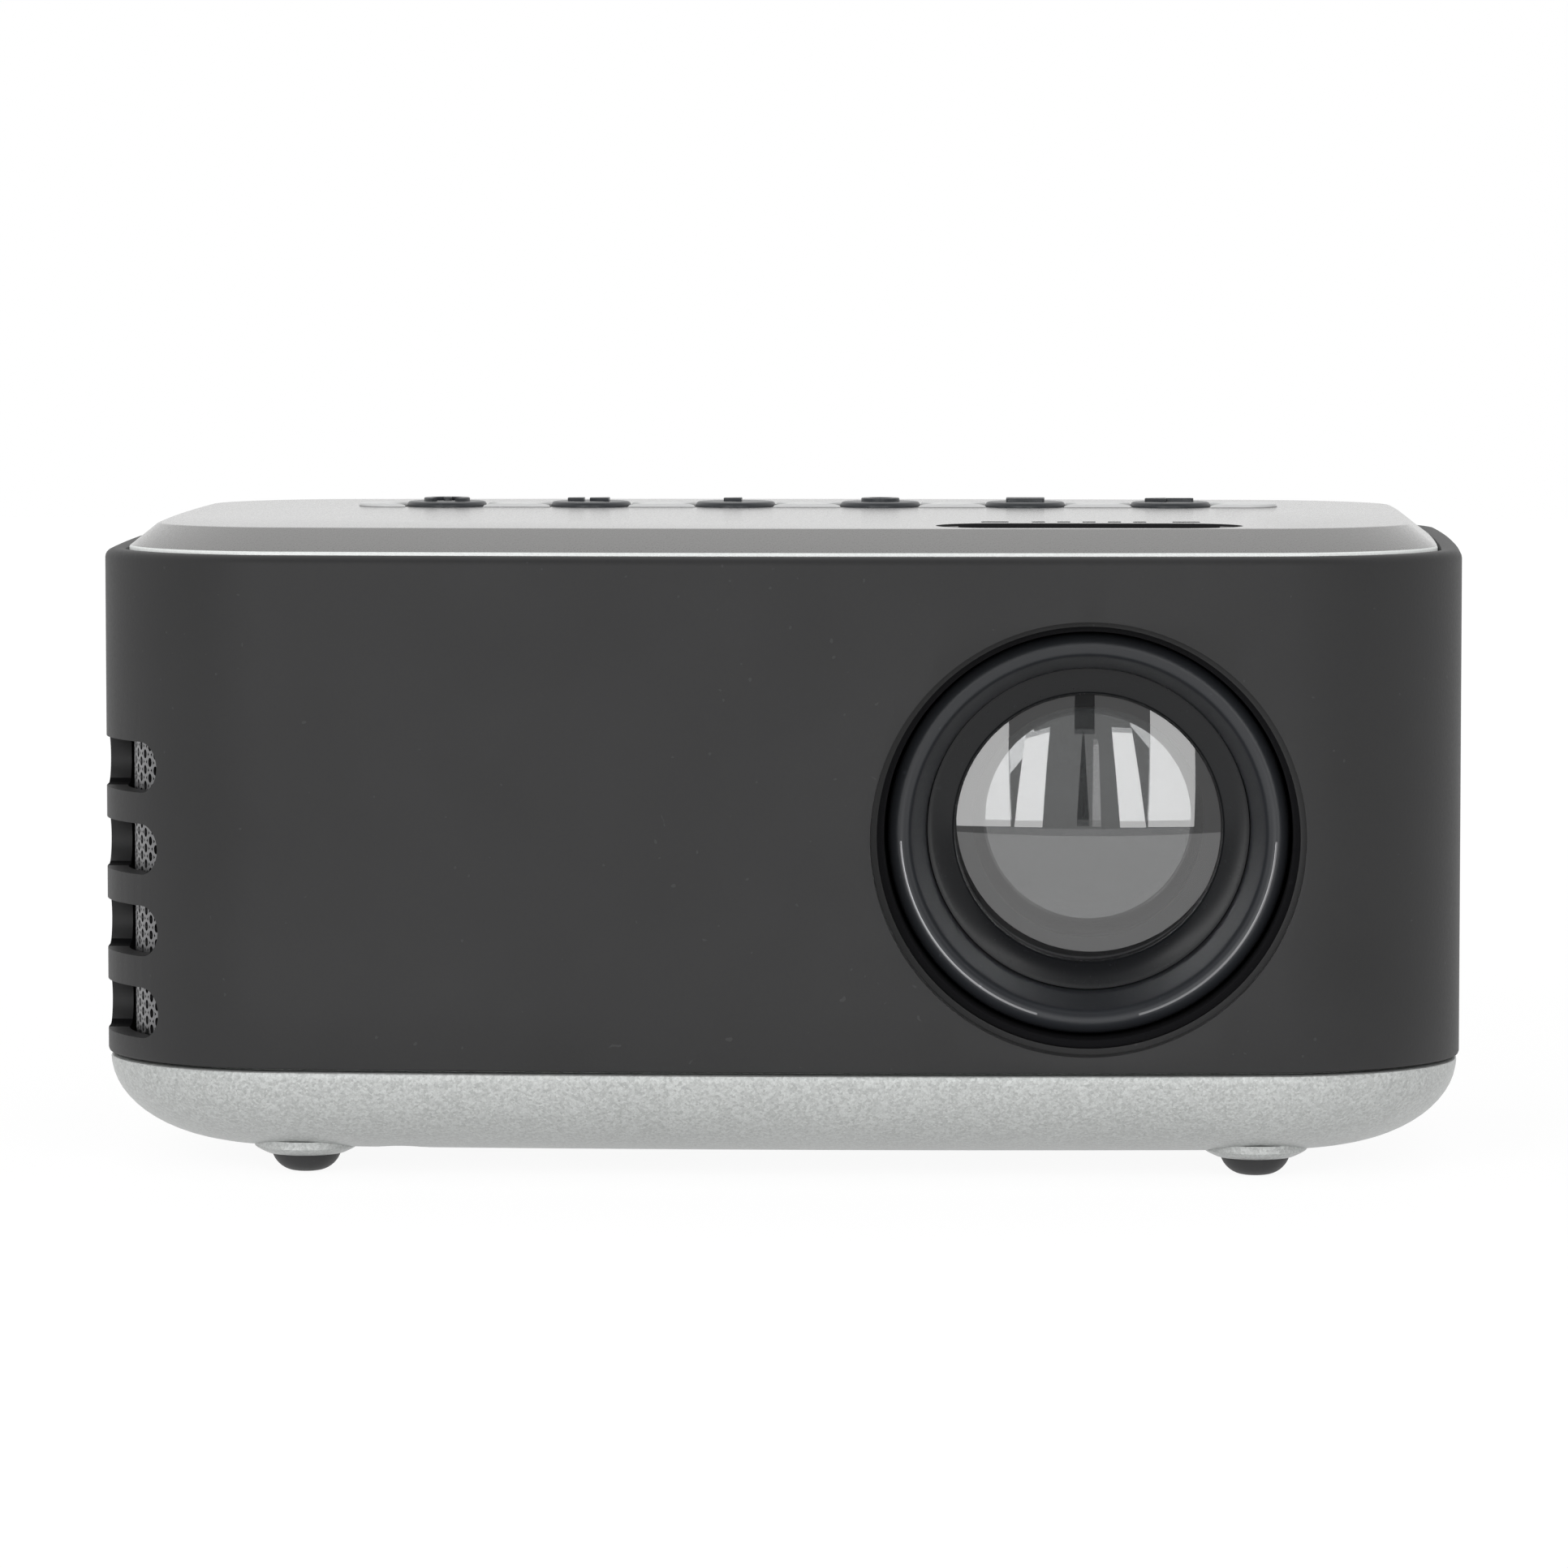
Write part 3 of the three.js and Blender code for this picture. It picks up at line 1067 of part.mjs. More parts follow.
// Focus wheel: a hub round the sleeve and a knurled sector that comes up into the slot of the cover
function focusWheel() {
  const halfAngle = THREE.MathUtils.degToRad(WHEEL_HALF_DEG);
  const hub = ring(WHEEL_BORE_R, WHEEL_HUB_R, WHEEL_HUB_BACK, WHEEL_FRONT, LENS_STEPS);
  const rimInner = WHEEL_R - WHEEL_RIM;
  const knurls = 4 * Math.round(WHEEL_HALF_DEG / KNURL_PITCH_DEG);
  const knurled = (k) => WHEEL_R - (k % 2 ? KNURL_DEPTH : 0);
  const rim = extrude(sector(rimInner, knurled, halfAngle, knurls), WHEEL_FRONT - WHEEL_WIDTH, WHEEL_FRONT);
  const web = extrude(sector(WHEEL_HUB_R - FUSE, rimInner + FUSE, halfAngle, LENS_STEPS / 2),
    WHEEL_STATION - WHEEL_WEB / 2, WHEEL_STATION + WHEEL_WEB / 2);
  const half = PIN_R + FIT_GAP;
  const grooveFront = PIN_STATION + FOCUS_TRAVEL + PIN_R + FIT_GAP;
  const grooves = pinAngles().map((angle) =>
    block([WHEEL_BORE_R - OVERRUN, -half, WHEEL_HUB_BACK - OVERRUN],
      [PIN_REACH_R + FIT_GAP, half, grooveFront]).rotateZ(angle));
  return cut(join(hub, web, rim), ...grooves);
}

// Light engine

function engineOutline(inset) {
  const half = ENGINE_HALF_WIDTH - inset;
  const throat = ENGINE_HALF_THROAT - inset;
  const behindMirror = (MIRROR_THICKNESS + FIT_GAP + ENGINE_WALL - inset) * Math.SQRT2;
  const diagonal = LENS_X + ENGINE_Y + behindMirror;
  const right = ENGINE_RIGHT - inset;
  return polygon([
    [ENGINE_LEFT + inset, ENGINE_Y - throat], [ENGINE_TAPER_END, ENGINE_Y - half], [right, ENGINE_Y - half],
    [right, diagonal - right], [diagonal - ENGINE_Y - half, ENGINE_Y + half],
    [ENGINE_TAPER_END, ENGINE_Y + half],
    [ENGINE_LEFT + inset, ENGINE_Y + throat],
  ]);
}

// Turns geometry made along +Z so that it runs along +X on the light engine's axis
function lookRight(geometry) {
  return geometry.rotateY(Math.PI / 2).translate(0, ENGINE_Y, LENS_Z);
}

function plateStations() {
  return [
    [alongEngine(PANEL_SHARE - FRESNEL_SPACING_SHARE), FRESNEL_THICKNESS],
    [PANEL_X, PANEL_THICKNESS],
    [alongEngine(PANEL_SHARE + FRESNEL_SPACING_SHARE), FRESNEL_THICKNESS],
  ];
}

function engineCase() {
  const floor = ENGINE_BOTTOM_Z + ENGINE_WALL;
  const box = extrude(engineOutline(0), ENGINE_BOTTOM_Z, ENGINE_TOP_Z);
  const room = extrude(engineOutline(ENGINE_WALL), floor, ENGINE_TOP_Z + OVERRUN);
  const half = ENGINE_HALF_WIDTH - ENGINE_WALL + FUSE;
  const ribs = plateStations().flatMap(([x, thickness]) => [-1, 1].map((side) => {
    const from = x + side * (thickness / 2 + FIT_GAP);
    const to = from + side * PLATE_RIB;
    return block([Math.min(from, to), ENGINE_Y - half, floor - FUSE], [Math.max(from, to), ENGINE_Y + half,
      floor + PLATE_RIB_RISE]);
  }));
  const holderX = CONDENSER_X + FIT_GAP;
  const holder = common(
    block([holderX, ENGINE_Y - ENGINE_HALF_WIDTH, floor - FUSE],
      [holderX + PLATE_RIB, ENGINE_Y + ENGINE_HALF_WIDTH, ENGINE_TOP_Z - LID_STEP - FIT_GAP]),
    extrude(engineOutline(ENGINE_WALL / 2), ENGINE_BOTTOM_Z, ENGINE_TOP_Z));
  const through = (radius, from, to, steps) => disc(radius, from - OVERRUN, to + OVERRUN, steps);
  const ledWindow = lookRight(through(LED_WINDOW_R, ENGINE_LEFT, ENGINE_LEFT + ENGINE_WALL, KEY_STEPS));
  const condenserWindow = lookRight(through(CONDENSER_OPENING_R, holderX, holderX + PLATE_RIB, KEY_STEPS));
  const lensWindow = onLensAxis(through(LENS_WINDOW_R, ENGINE_FACE - ENGINE_WALL, ENGINE_FACE, LENS_STEPS));
  return cut(join(cut(box, room), holder, ...ribs), ledWindow, condenserWindow, lensWindow);
}

function engineLid() {
  const low = ENGINE_TOP_Z + FIT_GAP;
  const plate = extrude(engineOutline(0), low, low + ENGINE_LID);
  const step = extrude(engineOutline(ENGINE_WALL + FIT_GAP), low - LID_STEP - FIT_GAP, low + FUSE);
  return join(plate, step);
}

function opticalPlate(x, thickness) {
  const half = ENGINE_HALF_WIDTH - ENGINE_WALL - FIT_GAP;
  const low = ENGINE_BOTTOM_Z + ENGINE_WALL + FIT_GAP;
  const high = ENGINE_TOP_Z - LID_STEP - FIT_GAP;
  return block([x - thickness / 2, ENGINE_Y - half, low], [x + thickness / 2, ENGINE_Y + half, high]);
}

function condenserLens() {
  const edge = CONDENSER_X - CONDENSER_EDGE;
  const bulge = lensCap(CONDENSER_R, edge, -CONDENSER_BULGE, BACK_FACE_STEPS);
  return lookRight(revolve([...bulge.reverse(), [CONDENSER_R, CONDENSER_X], [0, CONDENSER_X]], LENS_STEPS));
}

function foldMirror() {
  const height = ENGINE_TOP_Z - LID_STEP - 2 * FIT_GAP - ENGINE_BOTTOM_Z - ENGINE_WALL;
  return new THREE.BoxGeometry(MIRROR_LENGTH, MIRROR_THICKNESS, height).translate(0, MIRROR_THICKNESS / 2, 0);
}

function heatSink() {
  const half = SINK_HEIGHT / 2;
  const pitch = (SINK_HEIGHT - SINK_FIN) / (SINK_FINS - 1);
  const points = [[SINK_RIGHT, -half], [SINK_RIGHT, half]];
  for (let fin = SINK_FINS - 1; fin >= 0; fin--) {
    const low = -half + fin * pitch;
    points.push([SINK_LEFT, low + SINK_FIN], [SINK_LEFT, low]);
    if (fin > 0) points.push([SINK_RIGHT - SINK_BASE, low], [SINK_RIGHT - SINK_BASE, low - pitch + SINK_FIN]);
  }
  return extrude(polygon(points), -SINK_LENGTH / 2, SINK_LENGTH / 2);
}

function ledBoard() {
  const x = SINK_RIGHT + FIT_GAP;
  const half = LED_BOARD_SIZE / 2;
  const face = x + LED_BOARD_THICKNESS;
  const board = block([x, ENGINE_Y - half, LENS_Z - half], [face, ENGINE_Y + half, LENS_Z + half]);
  const dome = revolve([[0, x], [LED_DOME_R, x], [LED_DOME_R, face],
    ...lensCap(LED_DOME_R, face, LED_DOME_RISE, FRONT_FACE_STEPS).slice(1)], SOCKET_STEPS);
  return join(board, lookRight(dome));
}

// Fan, made along +Z and turned to blow forward by its group

function fanFrame() {
  const outline = roundedRectangle(FAN_SIZE, FAN_SIZE, FAN_CORNER);
  outline.holes.push(circle(FAN_BORE_R, LENS_STEPS));
  const spacing = FAN_HOLE_SPACING / 2;
  for (const x of [-spacing, spacing]) {
    for (const y of [-spacing, spacing]) outline.holes.push(circle(FAN_HOLE_R, SOUND_HOLE_SIDES, x, y));
  }
  const back = -FAN_DEPTH / 2;
  const duct = extrude(outline, back, FAN_DEPTH / 2);
  const motor = disc(FAN_MOTOR_R, back, back + FAN_STRUT_THICKNESS, SOCKET_STEPS);
  const struts = Array.from({ length: FAN_STRUTS }, (_, i) =>
    block([0, -FAN_STRUT / 2, back], [FAN_BORE_R + FUSE, FAN_STRUT / 2, back + FAN_STRUT_THICKNESS])
      .rotateZ((2 * Math.PI * i) / FAN_STRUTS + Math.PI / 6));
  return join(duct, motor, ...struts);
}

function fanBlade() {
  const rings = [];
  for (let k = 0; k < BLADE_SECTIONS; k++) {
    const share = k / (BLADE_SECTIONS - 1);
    const radius = BLADE_ROOT_R + (BLADE_TIP_R - BLADE_ROOT_R) * share;
    const pitchDeg = BLADE_ROOT_PITCH_DEG + (BLADE_TIP_PITCH_DEG - BLADE_ROOT_PITCH_DEG) * share;
    const pitch = THREE.MathUtils.degToRad(pitchDeg);
    const side = (offset) => BLADE_CHORD_SHARES.map((along) => {
      const [run, rise] = [along * BLADE_CHORD, (along ? 0 : BLADE_CAMBER) + offset];
      return new THREE.Vector3(radius, run * Math.cos(pitch) - rise * Math.sin(pitch),
        run * Math.sin(pitch) + rise * Math.cos(pitch));
    });
    rings.push([...side(-BLADE_THICKNESS / 2), ...side(BLADE_THICKNESS / 2).reverse()]);
  }
  return skin(rings);
}

function fanRotor() {
  const low = -ROTOR_LENGTH / 2 + FAN_STRUT_THICKNESS / 2;
  const high = low + ROTOR_LENGTH;
  const hub = disc(BLADE_HUB_R, low, high, 2 * BLADE_COUNT);
  const blades = Array.from({ length: BLADE_COUNT }, (_, i) =>
    fanBlade().rotateZ((2 * Math.PI * i) / BLADE_COUNT).translate(0, 0, (low + high) / 2));
  return join(hub, ...blades);
}

// Boards, sockets and speaker

function mainBoard() {
  const outline = polygon([
    [BOARD_LEFT_X, BOARD_FRONT_Y], [BOARD_RIGHT_X, BOARD_FRONT_Y], [BOARD_RIGHT_X, BACK_Y],
    [BOARD_TAIL_X, BACK_Y], [BOARD_TAIL_X, BOARD_TAIL_Y], [BOARD_LEFT_X, BOARD_TAIL_Y],
  ]);
  const board = common(extrude(outline, BOARD_Z, BOARD_TOP_Z),
    bodyPrism(BOARD_EDGE_INSET, BOARD_Z - OVERRUN, BOARD_TOP_Z + OVERRUN));
  const half = CHIP_SIZE / 2;
  const chip = block([LENS_X - half, ENGINE_Y - half, BOARD_TOP_Z - FUSE], [LENS_X + half, ENGINE_Y + half,
    BOARD_TOP_Z + CHIP_HEIGHT]);
  const memoryRight = LENS_X - half - MEMORY_GAP;
  const memory = block([memoryRight - MEMORY_WIDTH, ENGINE_Y - half, BOARD_TOP_Z - FUSE],
    [memoryRight, ENGINE_Y - half + MEMORY_LENGTH, BOARD_TOP_Z + MEMORY_HEIGHT]);
  const coils = Array.from({ length: COIL_COUNT }, (_, i) =>
    disc(COIL_R, BOARD_TOP_Z - FUSE, BOARD_TOP_Z + COIL_HEIGHT, SOCKET_STEPS / 2)
      .translate(BOARD_LEFT_X + 2 * COIL_R + i * COIL_PITCH, ENGINE_Y, 0));
  const holes = ENGINE_POST_PLACES.map(([x, y]) =>
    disc(ENGINE_POST_R + 2 * FIT_GAP, BOARD_Z - OVERRUN, BOARD_TOP_Z + OVERRUN, SOCKET_STEPS / 2)
      .translate(x, y, 0));
  return cut(join(board, chip, memory, ...coils), ...holes);
}

function shellSocket(socket) {
  const low = BOARD_TOP_Z + FIT_GAP;
  const high = low + socket.height;
  const back = SOCKET_FACE_Y - socket.depth;
  const half = socket.width / 2;
  const wall = socket.shell;
  const middle = (low + high) / 2;
  const body = block([-half, back, low], [half, SOCKET_FACE_Y, high]);
  const room = block([-half + wall, back + wall, low + wall],
    [half - wall, SOCKET_FACE_Y + OVERRUN, high - wall]);
  const tongue = block([-half + 3 * wall, back, middle - socket.tongue / 2],
    [half - 3 * wall, SOCKET_FACE_Y - wall, middle + socket.tongue / 2]);
  return join(cut(body, room), tongue).translate(socketX(socket), 0, 0);
}

function audioJack() {
  const low = BOARD_TOP_Z + FIT_GAP;
  const half = AUDIO.width / 2;
  const back = SOCKET_FACE_Y - AUDIO.depth;
  const middle = BOARD_TOP_Z + AUDIO.height / 2;
  const body = block([-half, back, low], [half, SOCKET_FACE_Y - FUSE, low + AUDIO.height]);
  const upright = (radius, from, to) =>
    lookForward(disc(radius, from - SOCKET_FACE_Y, to - SOCKET_FACE_Y, SOCKET_STEPS), 0, 0, middle);
  const nose = upright(AUDIO.nose, -BAND_WALL / 2, OVERRUN);
  const bore = upright(AUDIO.bore, -BAND_WALL, AUDIO.depth * SOCKET_BORE_DEPTH_SHARE);
  return cut(join(body, nose), bore).translate(socketX(AUDIO), 0, 0);
}

function powerJack() {
  const low = BOARD_TOP_Z + FIT_GAP;
  const half = POWER.width / 2;
  const back = SOCKET_FACE_Y - POWER.depth;
  const middle = BOARD_TOP_Z + POWER.height / 2;
  const boreEnd = POWER.depth * SOCKET_BORE_DEPTH_SHARE;
  const upright = (radius, from, to, steps) =>
    lookForward(disc(radius, from - SOCKET_FACE_Y, to - SOCKET_FACE_Y, steps), 0, 0, middle);
  const body = block([-half, back, low], [half, SOCKET_FACE_Y, low + POWER.height - FIT_GAP]);
  const bore = upright(POWER.bore, -OVERRUN, boreEnd, SOCKET_STEPS);
  const pin = upright(POWER.pin, POWER.pin, boreEnd + FUSE, SOCKET_STEPS / 2);
  return join(cut(body, bore), pin).translate(socketX(POWER), 0, 0);
}

function receiverWindow() {
  const front = BACK_Y - FIT_GAP;
  const inside = BACK_Y - BAND_WALL - FIT_GAP;
  const pane = extrude(roundedRectangle(WINDOW_WIDTH - 2 * FIT_GAP, WINDOW_HEIGHT - 2 * FIT_GAP,
    WINDOW_CORNER - FIT_GAP), -front, -inside + FUSE);
  const flange = extrude(roundedRectangle(WINDOW_WIDTH + 2 * WINDOW_FLANGE, WINDOW_HEIGHT + 2 * WINDOW_FLANGE,
    WINDOW_CORNER), -inside, -inside + WINDOW_FLANGE_THICKNESS);
  return lookForward(join(pane, flange), WINDOW_X, 0, WINDOW_Z);
}

function speaker() {
  const low = TRAY_FLOOR_Z + SPEAKER_SEAT_RISE + FIT_GAP;
  const basket = low + SPEAKER_BASKET_Z;
  const magnetTop = basket + SPEAKER_MAGNET;
  const [coneZ, rimZ, backZ] = [basket - SPEAKER_RIM, basket - SPEAKER_RIM / 2, basket + SPEAKER_RIM / 2];
  return revolve([[0, coneZ], [SPEAKER_MAGNET_R, coneZ], [SPEAKER_R - SPEAKER_RIM, low], [SPEAKER_R, low],
    [SPEAKER_R, rimZ], [SPEAKER_MAGNET_R + SPEAKER_RIM, backZ], [SPEAKER_MAGNET_R, backZ],
    [SPEAKER_MAGNET_R, magnetTop], [0, magnetTop]], LENS_STEPS);
}

// Finishes

function finish(color, roughness, metalness, opacity = 1) {
  return new THREE.MeshStandardMaterial({ color, roughness, metalness, opacity, transparent: opacity < 1 });
}

const BLACK_SHELL = finish(0x2b2b2b, 0.55, 0);
const SILVER_PAINT = finish(0xb4b6b5, 0.4, 0.5);
const COVER_PAINT = finish(0xc4c3c0, 0.35, 0.5);
const BLACK_KEY = finish(0x1c1e20, 0.4, 0);
const BLACK_RUBBER = finish(0x161616, 0.8, 0);
const BLACK_PLASTIC = finish(0x141414, 0.45, 0);
const GREY_PLASTIC = finish(0x3a3c3e, 0.5, 0);
const MESH_METAL = finish(0x6f7072, 0.4, 0.9);
const CLEAR_GLASS = finish(0xdfe8ee, 0.03, 0, 0.35);
const MIRROR_GLASS = finish(0xe6eaec, 0.02, 1);
const ALUMINIUM = finish(0xb8babc, 0.35, 0.9);
const STEEL = finish(0x9a9c9e, 0.3, 1);
const BRASS = finish(0xb08d3e, 0.3, 1);
const GREEN_BOARD = finish(0x1d5a35, 0.5, 0);
const WHITE_BOARD = finish(0xe4e4e0, 0.4, 0);
const SOCKET_METAL = finish(0xa9abad, 0.3, 1);
const PANEL_GLASS = finish(0x20242c, 0.1, 0);
const SMOKED_WINDOW = finish(0x180a10, 0.12, 0);

// Scene graph

const projector = new THREE.Group();

function add(name, geometry, material, parent = projector) {
  const piece = new THREE.Mesh(geometry, material);
  piece.name = name;
  parent.add(piece);
  return piece;
}

function addCase() {
  add("outer_band", outerBand(), BLACK_SHELL);
  add("top_cover", topCover(), COVER_PAINT);
  add("bottom_tray", bottomTray(), SILVER_PAINT);
  add("vent_mesh_front", ventMesh(false), MESH_METAL);
  add("vent_mesh_rear", ventMesh(true), MESH_METAL);
  [[-1, -1, "front_left"], [1, -1, "front_right"], [-1, 1, "rear_left"], [1, 1, "rear_right"]]
    .forEach(([x, y, place]) => {
      add("foot_" + place, foot(), BLACK_RUBBER).position.set(x * FOOT_X, y * FOOT_Y, 0);
    });
  SCREW_PLACES.forEach(([x, y], i) => {
    add("case_screw_" + (i + 1), caseScrew(), STEEL).position.set(x, y, 0);
  });
  add("tripod_insert", tripodInsert(), BRASS).position.set(INSERT_X, INSERT_Y, 0);
  add("receiver_window", receiverWindow(), SMOKED_WINDOW);
}

function addKeys() {
  const icons = iconShapes();
  keyPlaces().forEach((x, i) => {
    add("key_" + (i + 1), keyCap(icons[i]), BLACK_KEY).position.set(x, KEY_ROW_Y, 0);
  });
  add("key_board", keyBoard(), GREEN_BOARD);
}

function addLens() {
  const lens = new THREE.Group();
  lens.position.set(LENS_X, FRONT_Y, LENS_Z);
  lens.rotation.x = Math.PI / 2;
  projector.add(lens);
  add("lens_sleeve", lensSleeve(), BLACK_PLASTIC, lens);
  add("focus_wheel", focusWheel(), BLACK_PLASTIC, lens);
  add("wheel_clip", wheelClip(), STEEL, lens);
  add("lens_barrel", lensBarrel(), BLACK_PLASTIC, lens);
  add("lens_ring", lensRing(), BLACK_PLASTIC, lens);
  add("front_lens", frontLens(), CLEAR_GLASS, lens);
  add("rear_lens", rearLens(), CLEAR_GLASS, lens);
}

function addEngine() {
  add("engine_case", engineCase(), GREY_PLASTIC);
  add("engine_lid", engineLid(), GREY_PLASTIC);
  const [rear, panel, front] = plateStations();
  add("rear_fresnel", opticalPlate(...rear), CLEAR_GLASS);
  add("lcd_panel", opticalPlate(...panel), PANEL_GLASS);
  add("front_fresnel", opticalPlate(...front), CLEAR_GLASS);
  add("condenser_lens", condenserLens(), CLEAR_GLASS);
  const mirror = add("fold_mirror", foldMirror(), MIRROR_GLASS);
  mirror.position.set(LENS_X, ENGINE_Y, (ENGINE_TOP_Z - LID_STEP + ENGINE_BOTTOM_Z + ENGINE_WALL) / 2);
  mirror.rotation.z = -Math.PI / 4;
  add("led_board", ledBoard(), WHITE_BOARD);
}

function addCooling() {
  const sink = add("heat_sink", heatSink(), ALUMINIUM);
  sink.position.set(0, ENGINE_Y, LENS_Z);
  sink.rotation.x = Math.PI / 2;
  const fan = new THREE.Group();
  fan.position.set(FAN_X, FAN_Y, LENS_Z);
  fan.rotation.x = Math.PI / 2;
  projector.add(fan);
  add("fan_frame", fanFrame(), BLACK_PLASTIC, fan);
  add("fan_rotor", fanRotor(), BLACK_PLASTIC, fan);
}

function addElectronics() {
  add("main_board", mainBoard(), GREEN_BOARD);
  add("hdmi_socket", shellSocket(HDMI), SOCKET_METAL);
  add("usb_socket", shellSocket(USB), SOCKET_METAL);
  add("audio_jack", audioJack(), BLACK_PLASTIC);
  add("power_jack", powerJack(), BLACK_PLASTIC);
  add("speaker", speaker(), BLACK_PLASTIC).position.set(SPEAKER_X, SPEAKER_Y, 0);
}

addCase();
addKeys();
addLens();
addEngine();
addCooling();
addElectronics();

export default projector;
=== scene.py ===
"""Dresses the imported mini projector: a black band between a silver tray and a silver top cover, with keys,
a deep lens, corner vents and rear sockets. Lengths are in metres, +Z up, and the lens looks towards -Y."""

import math

import bmesh
import bpy
from mathutils import Matrix, Vector


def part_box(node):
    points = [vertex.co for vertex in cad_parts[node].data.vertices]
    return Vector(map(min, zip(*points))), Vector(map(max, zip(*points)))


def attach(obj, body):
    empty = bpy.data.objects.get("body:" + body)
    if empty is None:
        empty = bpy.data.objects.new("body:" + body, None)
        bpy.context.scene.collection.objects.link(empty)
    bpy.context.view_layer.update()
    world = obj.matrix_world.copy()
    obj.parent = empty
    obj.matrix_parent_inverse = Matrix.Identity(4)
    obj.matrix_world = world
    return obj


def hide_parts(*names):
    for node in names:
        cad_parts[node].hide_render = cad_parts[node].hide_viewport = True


bl_info = {
    "name": "Mini Projector Dressing",
    "version": (1, 0, 0),
    "blender": (4, 5, 0),
    "location": "3D View > Sidebar > Projector",
    "description": "Builds the visible shells, keys, lens and studio of a palm-sized video projector",
    "category": "Object",
}


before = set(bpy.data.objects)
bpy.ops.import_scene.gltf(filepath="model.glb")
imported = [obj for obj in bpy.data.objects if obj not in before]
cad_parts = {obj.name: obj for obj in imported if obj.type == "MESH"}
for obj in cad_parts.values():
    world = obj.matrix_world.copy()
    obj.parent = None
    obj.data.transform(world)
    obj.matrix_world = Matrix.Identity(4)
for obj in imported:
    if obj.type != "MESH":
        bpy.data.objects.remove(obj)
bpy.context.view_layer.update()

MM = 0.001
QUARTER = math.pi / 2
TURN = 2 * math.pi
UP = (0, 0, 1)
WHITE = (1, 1, 1, 1)
CASE = "case"
BAND_LOW, BAND_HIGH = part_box("outer_band")


def box_middle(node):
    """Middle of a CAD node's box."""
    low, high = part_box(node)
    return (low + high) / 2


LENS_AXIS = Vector((box_middle("front_lens").x, 0, box_middle("front_lens").z))
OVERRUN = 2 * MM            # how far a cutter reaches past what it cuts


# Settings that a user may change


def length(name, description, default):
    """A setting that is a length in metres."""
    return bpy.props.FloatProperty(name=name, description=description, default=default, unit="LENGTH",
                                   precision=5, min=0)


def colour(name, description, default):
    """A setting that is a colour."""
    return bpy.props.FloatVectorProperty(name=name, description=description, default=default, size=3,
                                         subtype="COLOR", min=0, max=1)


class CaseSizes(bpy.types.PropertyGroup):
    width: length("Width", "Width of the rounded rectangle before its sides bow",
                  2 * BAND_HIGH.x)
    depth: length("Depth", "Depth of the rounded rectangle before its sides bow",
                  2 * BAND_HIGH.y)
    corner: length("Corner radius", "Radius of the upright corners", 17.9 * MM)
    front_bow: length("Front bow", "How far the front and back stand out at the middle", 3 * MM)
    side_bow: length("Side bow", "How far the sides stand out at the middle", 1.17 * MM)
    wall: length("Band wall", "Thickness of the black band", 2.1 * MM)
    rim_round: length("Rim rounding", "Rounding of the band's outer top edge", 0.9 * MM)
    edge_round: length("Edge rounding", "Rounding of the band's other edges", 0.35 * MM)
    corner_cuts: bpy.props.IntProperty(name="Corner cuts", description="Facets round each upright corner",
                                       default=20, min=4)
    hole_radius: length("Opening radius", "Radius of the round opening in front of the lens", 21.07 * MM)
    lip_radius: length("Lip radius", "Radius of the collar's bore behind the opening", 20.5 * MM)
    hole_depth: length("Opening depth", "Distance of the collar's step from the middle of the body",
                       40.6 * MM)
    collar_radius: length("Collar radius", "Outer radius of the collar behind the opening", 23.2 * MM)
    collar_back: length("Collar back", "Distance of the collar's back from the middle of the body", 39.4 * MM)
    bevel_run: length("Cover bevel run", "Width of the sloped edge of the top cover, seen from above",
                      2.9 * MM)
    cover_edge: length("Cover edge height", "Height of the lower end of the cover's sloped edge", 61.6 * MM)
    cover_top: length("Cover top height", "Height of the front ridge of the cover", 63.85 * MM)
    fall: length("Top fall", "How much lower the top is at the back than at the front", 0.25 * MM)
    gap: length("Gap", "Space between touching pieces", 0.3 * MM)


class TraySizes(bpy.types.PropertyGroup):
    inset: length("Edge inset", "How far the tray's side stands back from the band", 0.25 * MM)
    round_run: length("Round run", "Width of the rounded lower edge", 14 * MM)
    top: length("Top height", "Height of the seam under the band", 11.05 * MM)
    underside: length("Underside height", "Height of the flat underside", 2.3 * MM)
    boss_radius: length("Boss radius", "Radius of the pads that the feet are set in", 5.1 * MM)
    boss_drop: length("Boss drop", "How far the pads stand below the underside", 0.45 * MM)
    foot_x: length("Foot X", "Distance of a foot from the middle, sideways", 46.8 * MM)
    foot_y: length("Foot Y", "Distance of a foot from the middle, front to back", 30 * MM)
    foot_radius: length("Foot radius", "Radius of a rubber foot", 3.4 * MM)


class VentSizes(bpy.types.PropertyGroup):
    count: bpy.props.IntProperty(name="Slots", description="Vent slots one above the other", default=4, min=1)
    slot_length: length("Slot length", "Length of a slot along the outline", 19 * MM)
    slot_height: length("Slot height", "Height of a slot", 5 * MM)
    pitch: length("Slot pitch", "Distance from slot to slot", 8.05 * MM)
    lowest: length("Lowest slot", "Height of the lowest slot's middle", 16.1 * MM)
    middle_run: length("Slot middle", "Place of the slot's middle along the outline, from the corner's start",
                       5.6 * MM)
    hole_radius: length("Mesh hole radius", "Radius of a hole in the mesh", 0.46 * MM)
    hole_pitch: length("Mesh pitch", "Distance between neighbouring holes", 1.55 * MM)
    sheet: length("Mesh thickness", "Thickness of the perforated sheet", 0.4 * MM)


